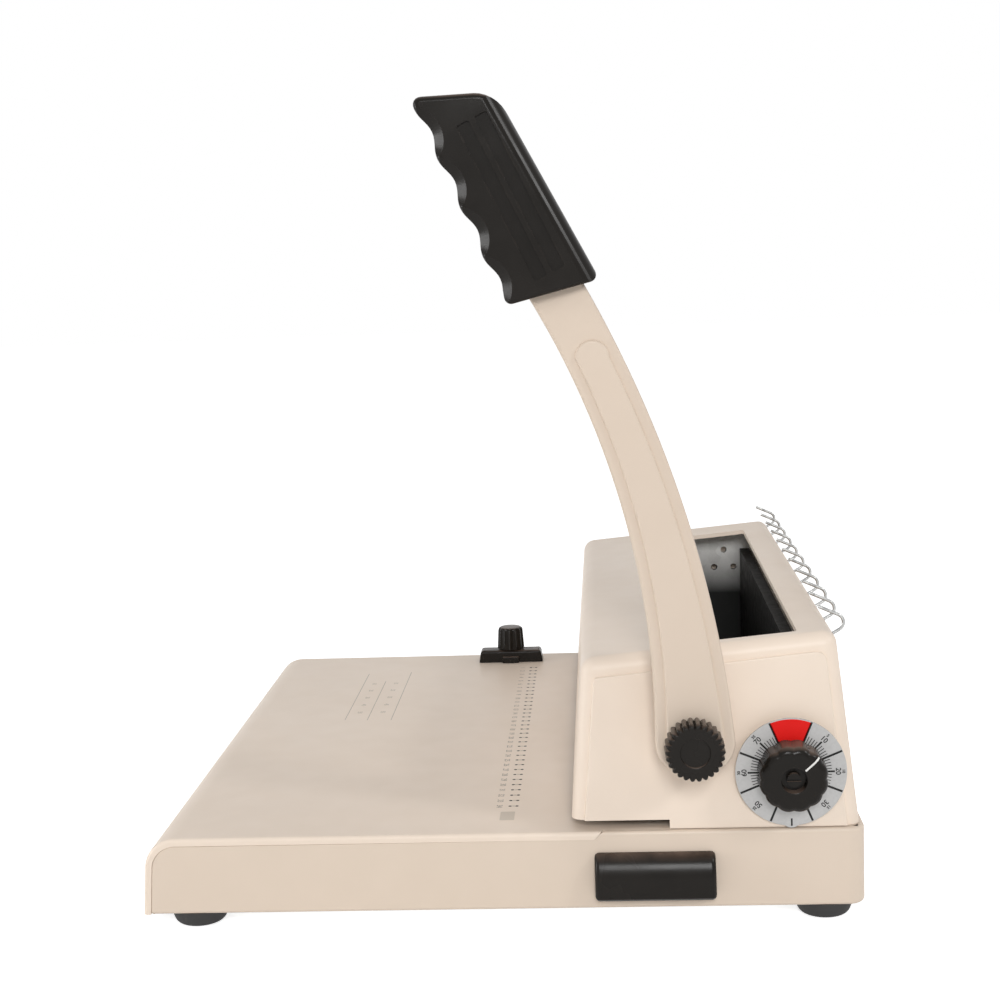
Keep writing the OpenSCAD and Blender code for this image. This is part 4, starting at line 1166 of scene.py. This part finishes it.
@dataclass
class WireHooks:
    """The row of bent wires behind the cover's rear edge."""

    wire: float = 0.8
    wire_sides: int = 12
    wire_edge: float = 0.25
    count: int = 11
    out: float = radians(30)
    leg: float = 10.0
    bend: float = 4.0
    bend_steps: int = 9
    turn: float = radians(126)
    tip: float = 10.0
    edge_y: float = 153.06
    edge_z: float = 128.04

    def build(self) -> None:
        """Bend one wire and copy it along the edge."""
        low, high = span("wire_hooks")
        start = Vector((0, self.edge_y, self.edge_z))
        way = Vector((0, cos(self.out), sin(self.out)))
        side = Vector((0, -way.z, way.y))
        wire = add("hook", bpy.ops.mesh.primitive_circle_add, vertices=self.wire_sides, radius=self.wire,
                   fill_type="NGON", location=start, rotation=way.to_track_quat("Z", "Y").to_euler())
        with editing(wire):
            extrude(way * self.leg)
            bpy.ops.mesh.spin(steps=self.bend_steps, angle=-self.turn, axis=(1, 0, 0),
                              center=start + way * self.leg + side * self.bend)
            extrude(Matrix.Rotation(self.turn, 3, "X") @ way * self.tip)
            bpy.ops.mesh.select_all(action="SELECT")
            bpy.ops.mesh.remove_doubles(threshold=0.001)
            turn_outward()
        soften(wire, self.wire_edge, angle=60.0)
        row = spaced(low.x + self.wire, high.x - self.wire, self.count)
        set_out(wire, [Matrix.Translation((x, 0, 0)) for x in row], WIRE, "wire_hooks", angle=50.0)


@dataclass
class Lever:
    """The arm with its raised rib, the grip on it and the clamp knob at its hub."""

    hub_drop: float = 15.5
    hub_steps: int = 30
    boss: float = 15.0
    boss_lap: float = 2.0
    stud: Point = (3.9, 8.0)
    arm_tops: Point = (206.0, 212.0)
    arm_steps: int = 26
    front: tuple[Point, Point, float] = ((-17.2, 16.0), (-66.2, 200.0), 387.0)
    rear: tuple[Point, Point, float] = ((18.2, 8.0), (-39.2, 200.0), 538.0)
    border: float = 5.0
    rib_rise: float = 1.5
    rib_root: float = 1.0
    rib_top: float = 176.0
    rib_edge: float = 1.2
    cap_steps: int = 12
    arm_edge: float = 1.6
    thickness: float = 8.0
    seat: Point = (-52.7, 200.0)
    lean: float = radians(25.3)
    corners: tuple[Point, ...] = ((-22.5, 10.6), (18.9, 2.1), (15.1, 93.5), (-18.7, 108.4))
    radii: tuple[float, ...] = (3.4, 4.2, 9.0, 5.4)
    fingers: int = 4
    finger_spare: float = 0.25
    finger_depth: float = 2.8
    finger_steps: int = 14
    finger_end: int = 3
    flare: Point = (5.0, 4.0)
    flare_radius: float = 9.0
    flare_back: float = 0.6
    flare_past: float = 1.0
    grip_side: float = 2.6
    grip_rear: float = 8.0
    back_margin: float = 0.12
    back_bar: Triple = (60.0, 30.0, 140.0)
    slots: Point = (-3.2, 5.3)
    slot_width: float = 6.0
    slot_ends: Point = (14.0, 88.0)
    slot_depth: float = 1.3
    slot_past: float = 4.0
    slot_corner: float = 1.2
    clamp_gap: float = 0.6
    clamp_wheel: Knob = Knob((
        (0, 12.3), (0.6, 13.0), (1.2, 13.5), (11.2, 13.5), (12.3, 13.1), (12.9, 12.2), (13.0, 11.4),
        (13.0, 7.2), (12.8, 6.8), (12.1, 6.5), (12.1, 1.0)),
        Rim.LOBED, count=26, depth=1.5, inner=9.0, steps=8)
    shaft: Vector = field(init=False)
    face: float = field(init=False)
    back: float = field(init=False)

    def build(self) -> None:
        """Make and dress all of the lever."""
        self.shaft = pivot("lever_swing")
        self.face = span("clamp_knob")[0].x - self.clamp_gap - self.rib_rise
        self.back = self.face - self.thickness
        self.arm()
        self.grip()
        self.clamp()

    def edge_at(self, edge: tuple[Point, Point, float], border: float, height: float) -> Vector:
        """Return a point on an edge of the arm, by its depth and height from the shaft.

        Args:
            edge: Lower end, upper end and radius of the edge.
            border: Added to the radius.
            height: Height above the shaft.

        Returns:
            The point; its depth is negative in front of the shaft.
        """
        low, high, radius = Vector(edge[0]), Vector(edge[1]), edge[2]
        way = high - low
        rest = sqrt(radius**2 - way.length_squared / 4)
        centre = (low + high) / 2 + Vector((-way.y, way.x)).normalized() * rest
        return Vector((centre.x + sqrt((radius + border) ** 2 - (height - centre.y) ** 2), height))

    def outline(self, border: float, tops: Point, cap: bool) -> list[Point]:
        """Return the arm's outline about the machine's axes, drawn in by a border.

        Args:
            border: How far the outline is drawn in.
            tops: Heights of its front and rear edges above the shaft.
            cap: Whether a half circle closes its top.

        Returns:
            Depths and heights of its points.
        """
        shares = spaced(0, 1, self.arm_steps + 1)
        front = [self.edge_at(self.front, border, tops[0] * t) for t in reversed(shares)]
        rear = [self.edge_at(self.rear, -border, tops[1] * t) for t in shares]
        middle, half = (rear[0] + front[-1]) / 2, (rear[0] - front[-1]) / 2
        turns = spaced(0, pi, self.hub_steps + 1)[1:-1]
        drop = self.hub_drop - border
        hub = [Vector((middle.x - half.x * cos(a), -drop * sin(a))) for a in turns]
        points = front + hub + rear
        if cap:
            middle, half = (rear[-1] + front[0]) / 2, (rear[-1] - front[0]) / 2
            for i in range(1, self.cap_steps):
                points.append(middle + half @ Matrix.Rotation(-pi * i / self.cap_steps, 2))
        return [(self.shaft.y + p.x, self.shaft.z + p.y) for p in points]

    def arm(self) -> None:
        """Model the arm with its hub boss, and the rib on its face."""
        piece = slab("lever_blade", self.outline(0, self.arm_tops, False), self.back, self.face)
        soften(piece, self.arm_edge, steps=3)
        at, lap = (self.shaft.y, self.shaft.z), self.boss_lap
        inner = span("lever_arm")[0].x
        combine(piece, rod_x("boss", self.boss, inner, self.back + lap, at), Work.WELD)
        radius, rise = self.stud
        combine(piece, rod_x("stud", radius, self.face - lap, self.face + rise, at, sides=32), Work.WELD)
        finish_piece(piece, "lever", LEVER, "lever_arm")
        outside = self.face + self.rib_rise
        rib = slab("lever_rib", self.outline(self.border, (self.rib_top, self.rib_top), True),
                   self.face - self.rib_root, outside)
        round_edges(rib, level(X, outside), self.rib_edge)
        finish_piece(rib, "lever", LEVER)

    def grip(self) -> None:
        """Model the moulded grip with its finger grooves and side slots."""
        low, high = span("lever_grip")
        middle, half = (low.x + high.x) / 2, (high.x - low.x) / 2
        piece = slab("grip_body", [*self.corners, *self.finger_waves()], -half, half)
        for corner, radius in zip(self.corners, self.radii):
            round_edges(piece, across_at(corner), radius, steps=6)
        round_edges(piece, level(X, -half, half), self.grip_side, steps=6)
        combine(piece, self.rounded_back(half + self.back_margin), Work.KEEP)
        self.flare_fingers(piece, half)
        for at in self.slots:
            self.side_slot(piece, at, half)
        seat = Vector((middle, self.shaft.y + self.seat[0], self.shaft.z + self.seat[1]))
        put(piece, Matrix.Translation(seat) @ Matrix.Rotation(self.lean, 4, "X"))
        finish_piece(piece, "lever", BLACK, "lever_grip", angle=30.0)

    def finger_axes(self) -> tuple[Vector, Vector, Vector, float]:
        """Return the low end of the grip's front, the way up it, the way in and the grooves' pitch."""
        low, high = Vector(self.corners[0]), Vector(self.corners[3])
        way = (high - low).normalized()
        return low, way, Vector((way.y, -way.x)), (high - low).length / (self.fingers + self.finger_spare)

    def finger_waves(self) -> list[Point]:
        """Return the wavy front edge of the grip, from its upper corner down to its lower one."""
        low, way, inward, pitch = self.finger_axes()
        steps = range(self.finger_steps * self.fingers, self.finger_end, -1)
        runs = [step / self.finger_steps for step in steps]
        return [tuple(low + way * pitch * run + inward * self.finger_depth * sin(pi * run) ** 2)
                for run in runs]

    def flare_fingers(self, piece: Piece, half: float) -> None:
        """Cut a cone into both ends of each finger groove, so that it flares towards the grip's sides."""
        low, way, inward, pitch = self.finger_axes()
        reach, depth = self.flare
        radius, past = self.flare_radius, self.flare_past
        for number in range(self.fingers):
            at = low + way * pitch * (number + 0.5) + inward * (self.finger_depth - radius - self.flare_back)
            for side in (1, -1):
                cone = add("cone", bpy.ops.mesh.primitive_cone_add, vertices=64, radius1=radius,
                           radius2=radius + reach * (1 + past / depth), depth=depth + past)
                middle = Vector((side * (half - depth / 2 + past / 2), *at))
                put(cone, Matrix.Translation(middle) @ Matrix.Rotation(side * pi / 2, 4, "Y"))
                combine(piece, cone, Work.CUT)

    def rounded_back(self, half: float) -> Piece:
        """Return a bar, half as wide as said, with two rounded edges that give the grip its back."""
        low, high = Vector(self.corners[1]), Vector(self.corners[2])
        lean = atan2(low.x - high.x, high.y - low.y)
        ahead, below, above = self.back_bar
        bar = block("bar", (-half, -ahead, -below), (half, self.back_margin, above))
        round_edges(bar, both(along(Z), level(Y, self.back_margin)), self.grip_rear, steps=10)
        return put(bar, Matrix.Translation((0, low.x, low.y)) @ Matrix.Rotation(lean, 4, "X"))

    def side_slot(self, piece: Piece, at: float, half: float) -> None:
        """Cut one long shallow slot into the grip's outer side."""
        low, high = self.slot_ends
        tool = block("side_slot", (half - self.slot_depth, at - self.slot_width / 2, low),
                     (half + self.slot_past, at + self.slot_width / 2, high))
        round_edges(tool, along(X), self.slot_corner)
        combine(piece, tool, Work.CUT)

    def clamp(self) -> None:
        """Model the lobed clamp knob."""
        piece = self.clamp_wheel.model("clamp_wheel")
        put(piece, Matrix.Translation((span("clamp_knob")[0].x, self.shaft.y, self.shaft.z)) @ ALONG_X)
        finish_piece(piece, "clamp", BLACK, "clamp_knob", angle=40.0)


@dataclass
class Dial:
    """The printed plate and the pointer knob on it."""

    radius: float = 25.5
    edge: float = 0.2
    tab: float = 5.0
    tab_drop: float = 21.5
    tab_mark: Triple = (0.8, 4.2, 0.6)
    hole: float = 5.5
    rise: float = 0.05
    print_edge: float = 0.02
    sectors: int = 8
    sector_steps: int = 12
    band: Point = (13.5, 25.0)
    divider: float = 1.0
    divider_past: float = 0.2
    tick: float = 0.36
    tick_top: float = 18.6
    tick_count: int = 10
    tick_sectors: tuple[int, ...] = (1, 2, 6, 7)
    middle_tick: Point = (2.4, 1.3)
    figures: tuple[tuple[float, float, int], ...] = ((21.4, 3.4, 10), (23.9, 1.9, 5))
    figure_sectors: tuple[int, ...] = (1, 2, 3, 5, 6, 7)
    weight: float = 0.06
    wheel: Knob = Knob((
        (0, 15.8), (0.6, 16.0), (10.2, 15.7), (11.2, 15.3), (12.3, 14.2), (13.0, 12.4), (13.0, 6.4),
        (12.8, 6.0), (9.0, 5.5), (9.0, 0.8)),
        Rim.LOBED, count=12, depth=0.8, inner=8.0, steps=8)
    pointer_turn: float = radians(48)
    pointer_width: float = 0.9
    pointer_edge: float = 0.05
    pointer: tuple[Point, ...] = (
        (9.0, 15.72), (11.2, 15.3), (12.36, 14.2), (13.06, 12.4), (13.06, 6.8), (12.4, 6.8), (11.6, 12.4),
        (9.0, 14.4))
    centre: Vector = field(init=False)
    back: float = field(init=False)
    face: float = field(init=False)

    def build(self) -> None:
        """Make and dress all of the dial."""
        self.centre = pivot("dial_turn")
        low, high = span("dial_plate")
        self.back, self.face = low.x, high.x
        self.plate()
        self.print_plate()
        self.knob()

    def about(self, turn: float, x: float = 0.0) -> Matrix:
        """Return a place on the dial, turned clockwise from its top as seen from the right."""
        return Matrix.Translation((x, self.centre.y, self.centre.z)) @ Matrix.Rotation(-turn, 4, "X")

    def plate(self) -> None:
        """Model the plate with its tab and hole."""
        piece = rod_x("dial_disc", self.radius, self.back, self.face, sides=96)
        combine(piece, rod_x("tab", self.tab, self.back, self.face, (0, -self.tab_drop), sides=40), Work.WELD)
        combine(piece, rod_x("hole", self.hole, self.back - PAST, self.face + PAST, sides=48), Work.CUT)
        put(piece, self.about(0))
        soften(piece, self.edge)
        finish_piece(piece, "root", SILVER, "dial_plate")

    def mark(self, name: str, width: float, inner: float, outer: float) -> Piece:
        """Return one straight mark at the top of the dial."""
        half = width / 2
        line = block(name, (self.face - self.rise, -half, inner), (self.face + self.rise, half, outer))
        soften(line, self.print_edge, steps=1)
        return line

    def print_plate(self) -> None:
        """Print the red sector, the dividers, the ticks and plain numbers."""
        step = tau / self.sectors
        inner, outer = self.band
        turns = [step * (i / self.sector_steps - 0.5) for i in range(self.sector_steps + 1)]
        ring = [(outer * sin(a), outer * cos(a)) for a in turns]
        ring += [(inner * sin(a), inner * cos(a)) for a in reversed(turns)]
        red = slab("dial_red", ring, self.face - self.rise, self.face + self.rise)
        finish_piece(put(red, self.about(0)), "root", RED_INK)
        half = self.tick_count // 2
        wider, longer = self.middle_tick
        for name, width, top, turns in (
                ("dial_dividers", self.divider, outer + self.divider_past,
                 [step * (i + 0.5) for i in range(self.sectors)]),
                ("dial_ticks", self.tick, self.tick_top,
                 [step * (s + (i - half) / self.tick_count) for s in self.tick_sectors
                  for i in range(1, self.tick_count) if i != half]),
                ("dial_middle_ticks", wider * self.tick, self.tick_top + longer,
                 [step * s for s in self.tick_sectors])):
            lines = repeat(self.mark(name, width, inner, top), [self.about(a) for a in turns])
            finish_piece(lines, "root", BLACK_INK)
        upright = Matrix(((0, 0, 1, 0), (1, 0, 0, 0), (0, 1, 0, 0), (0, 0, 0, 1)))
        made = []
        for sector in self.figure_sectors:
            for radius, size, value in self.figures:
                place = self.about(step * sector, self.face) @ Matrix.Translation((0, 0, radius)) @ upright
                words = str(sector * value)
                made.append(lettering("dial_figures", words, size, place, self.rise, self.weight))
        finish_piece(unite(made), "root", BLACK_INK)
        width, low, high = self.tab_mark
        tab = self.mark("dial_tab_mark", width, -self.tab_drop - low, -self.tab_drop - high)
        finish_piece(put(tab, self.about(0)), "root", BLACK_INK)

    def knob(self) -> None:
        """Model the lobed knob and its white pointer."""
        low = span("dial_knob")[0]
        piece = put(self.wheel.model("dial_wheel"), self.about(0, low.x) @ ALONG_X)
        finish_piece(piece, "dial", BLACK, "dial_knob", angle=40.0)
        half = self.pointer_width / 2
        outline = [Vector((low.x + x, -half, z)) for x, z in self.pointer]
        pointer = prism("dial_pointer", outline, (0, 2 * half, 0))
        soften(pointer, self.pointer_edge, steps=1)
        finish_piece(put(pointer, self.about(self.pointer_turn)), "dial", WHITE_INK)


@dataclass
class ChipDrawer:
    """The pull of the chip drawer and the painted front behind it."""

    fillet: Point = (7.6, 16.0)
    fillet_steps: int = 10
    lower_edge: float = 1.0
    end_edge: float = 2.2
    front_rise: float = 0.25
    front_lap: float = 1.0
    front_corner: float = 1.2
    front_edge: float = 0.25

    def build(self) -> None:
        """Model the convex pull from its side profile, and the front as a thin plate."""
        low, high = span("drawer_pull")
        (depth, drop), lower = self.fillet, self.lower_edge
        x, z = high.x - depth, high.z - drop
        turns = spaced(0, pi / 2, self.fillet_steps + 1)
        profile = [(low.x, low.z), (high.x - lower, low.z), (high.x, low.z + lower),
                   *((x + depth * cos(a), z + drop * sin(a)) for a in turns), (low.x, high.z)]
        piece = prism("drawer_handle", [Vector((x, low.y, z)) for x, z in profile], (0, high.y - low.y, 0))
        round_edges(piece, both(level(Y, low.y, high.y), other(level(X, low.x))), self.end_edge)
        finish_piece(piece, "drawer", BLACK, "drawer_pull")
        low, high = span("chip_tray")
        lap = Vector((0, self.front_lap, self.front_lap))
        behind = Vector((high.x - self.front_rise, low.y, low.z))
        ahead = Vector((high.x + self.front_rise, high.y, high.z))
        front = block("drawer_front", behind - lap, ahead + lap)
        round_edges(front, along(X), self.front_corner)
        soften(front, self.front_edge)
        finish_piece(front, "drawer", BASE_WITH_PAINTED_SHADE)


@dataclass
class EdgeGuide:
    """The bar that the paper's edge rests against, and its knob."""

    end_slope: float = 1.2
    corner: float = 1.2
    edge: float = 1.8
    nub: float = 3.0
    nub_size: Point = (5.5, 4.0)
    nub_edge: float = 0.6
    wheel: Knob = Knob((
        (0, 8.6), (0.4, 8.9), (12.7, 8.1), (13.6, 7.6), (14.2, 6.7), (14.4, 5.4), (14.4, 0.8)),
        Rim.FLUTED, count=14, depth=0.8, inner=7.0, steps=6)

    def build(self) -> None:
        """Make and dress the guide."""
        centre = pivot("guide_knob_turn")
        low, high = span("guide_bar")
        piece = block("guide_rail", low, (high.x - self.nub, high.y, high.z))
        with editing(piece):
            pick(piece, Part.FACE, facing(UP))
            share = 1 - 2 * self.end_slope / (high.y - low.y)
            bpy.ops.transform.resize(value=(1, share, 1), center_override=(centre.x, centre.y, high.z))
        round_edges(piece, other(level(Z, low.z, high.z)), self.corner, steps=5)
        round_edges(piece, level(Z, high.z), self.edge, steps=3)
        half, tall = self.nub_size
        nub = block("nub", (centre.x, centre.y - half, low.z), (high.x, centre.y + half, low.z + tall))
        soften(nub, self.nub_edge, steps=3)
        combine(piece, nub, Work.WELD)
        finish_piece(piece, "guide", BLACK, "guide_bar")
        wheel = self.wheel.model("guide_wheel")
        put(wheel, Matrix.Translation((centre.x, centre.y, span("guide_knob")[0].z)))
        finish_piece(wheel, "guide_clamp", BLACK, "guide_knob", angle=40.0)


@dataclass
class Mechanism:
    """The CAD nodes that keep their own shape, and the coils of the two return springs."""

    wire: float = 0.6
    wire_sides: int = 10
    turns: int = 8
    turn_steps: int = 28

    def build(self) -> None:
        """Dress the nodes and wind the springs."""
        self.nodes()
        self.springs()

    def nodes(self) -> None:
        """Give each node the finish of its slot in the record, or its own."""
        for part in frame["record"]["subparts"]:
            node = frame["nodes"][part["node"]]
            node.data.materials.clear()
            finish = OWN_FINISHES.get(part["node"], SLOT_FINISHES[part["material_slot"]])
            node.data.materials.append(finish.material())
            log.info("node %s: %s", part["node"], part["material_slot"])

    def springs(self) -> None:
        """Wind one return spring and copy it to the other post."""
        low, high = span("return_springs")
        radius, length = (high.y - low.y) / 2, high.z - low.z
        spring = add("return_spring", bpy.ops.mesh.primitive_circle_add, vertices=self.wire_sides,
                     radius=self.wire, location=(radius - self.wire, 0, self.wire),
                     rotation=(pi / 2, 0, 0))
        modify(spring, "SCREW", screw_offset=(length - 2 * self.wire) / self.turns, iterations=self.turns,
               steps=self.turn_steps, render_steps=self.turn_steps)
        with editing(spring):
            bpy.ops.mesh.fill_holes(sides=0)
            turn_outward()
        feet = [Vector((x, low.y + radius, low.z)) for x in (low.x + radius, high.x - radius)]
        twins = set_out(spring, [Matrix.Translation(foot) for foot in feet], BRIGHT, "return_springs")
        for twin, foot in zip(twins, feet):
            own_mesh(twin)


@dataclass
class Studio:
    """Camera, floor, lamps and surrounding light."""

    lens: float = 61.34
    sensor: float = 36.0
    near: float = 0.01
    eye: Triple = (0.92805, 0.0525, 0.3129)
    yaw: float = 0.060
    pitch: float = 0.144
    roll: float = -0.037
    fill: float = 0.46
    floor_size: float = 12.0
    floor_colour: Colour = (0.86, 0.86, 0.86)
    floor_glow: float = 0.7
    white: Colour = (1.0, 1.0, 1.0)
    aim: Triple = (0.0, 0.02, 0.1)
    lamps: tuple[tuple[str, Triple, Point, float], ...] = (
        ("key_light", (1.9, 0.15, 0.95), (0.45, 0.45), 14.5),
        ("front_light", (0.42, -1.5, 0.42), (0.26, 0.7), 7.5),
        ("rear_light", (0.95, 1.5, 1.25), (0.28, 0.28), 7.0))

    def build(self) -> None:
        """Set up the whole studio."""
        bpy.context.scene.view_settings.view_transform = "Standard"
        self.camera()
        self.floor()
        self.surroundings()
        for lamp in self.lamps:
            self.lamp(*lamp)

    def camera(self) -> None:
        """Place the camera where the photograph was taken from."""
        facing_machine = Matrix(((0, 1, 0), (0, 0, -1), (-1, 0, 0)))
        turn = (Matrix.Rotation(self.roll, 3, "Z") @ Matrix.Rotation(self.pitch, 3, "X")
                @ Matrix.Rotation(self.yaw, 3, "Y") @ facing_machine)
        bpy.ops.object.camera_add()
        camera = bpy.context.object
        camera.name = "photo_camera"
        camera.data.lens = self.lens
        camera.data.sensor_width = self.sensor
        axes = Matrix((turn[0], -turn[1], -turn[2])).transposed()
        camera.matrix_world = Matrix.Translation(self.eye) @ axes.to_4x4()
        camera.data.clip_start = self.near
        bpy.context.scene.camera = camera

    def shown_white(self, w: Wiring) -> Socket:
        """Return 1 for rays that see the background and 0 for light."""
        path = w.add("ShaderNodeLightPath").outputs
        seen = w.maths("MAXIMUM", path["Is Camera Ray"], path["Is Glossy Ray"])
        return w.maths("MAXIMUM", seen, path["Is Transmission Ray"])

    def floor(self) -> None:
        """Lay the plain pale floor, which keeps the machine's shadow."""
        floor = add("floor", bpy.ops.mesh.primitive_plane_add, size=self.floor_size)
        paper = bpy.data.materials.new("pale floor")
        w = clear_wiring(paper)
        matt = w.add("ShaderNodeBsdfDiffuse", {"Color": opaque(self.floor_colour)})
        glow = w.maths("MULTIPLY", self.shown_white(w), self.floor_glow)
        white = w.add("ShaderNodeEmission", {"Color": opaque(self.white), "Strength": glow})
        mixed = w.add("ShaderNodeAddShader", {0: matt.outputs[0], 1: white.outputs[0]})
        w.add("ShaderNodeOutputMaterial", {"Surface": mixed.outputs[0]})
        floor.data.materials.append(paper)

    def surroundings(self) -> None:
        """Surround the machine with soft light, seen as white."""
        world = bpy.data.worlds.new("soft room")
        bpy.context.scene.world = world
        w = clear_wiring(world)
        light, white = [w.add("ShaderNodeBackground", {"Color": opaque(self.white), "Strength": strength})
                        for strength in (self.fill, 1.0)]
        mixed = w.add("ShaderNodeMixShader", {
            0: self.shown_white(w), 1: light.outputs[0], 2: white.outputs[0]})
        w.add("ShaderNodeOutputWorld", {"Surface": mixed.outputs[0]})

    def lamp(self, name: str, place: Triple, size: Point, power: float) -> None:
        """Hang one soft lamp that looks at the machine.

        Args:
            name: Name of the lamp.
            place: Where it hangs, in metres.
            size: Width and height of its face.
            power: Its power in watts.
        """
        bpy.ops.object.light_add(type="AREA", location=place)
        lamp = bpy.context.object
        lamp.name = name
        lamp.data.shape = "RECTANGLE"
        lamp.data.size, lamp.data.size_y = size
        lamp.data.energy = power
        way = Vector(self.aim) - Vector(place)
        lamp.rotation_euler = way.to_track_quat("-Z", "Y").to_euler()


def main() -> None:
    """Build the studio and every sub-assembly in order."""
    logging.basicConfig(level=logging.INFO, format="%(message)s")
    for unit in (Studio(), Mechanism(), BaseUnit(), TablePrint(), Cover(), WireHooks(), Lever(), Dial(),
                 ChipDrawer(), EdgeGuide()):
        log.info("building %s", type(unit).__name__)
        unit.build()


if __name__ == "__main__":
    main()
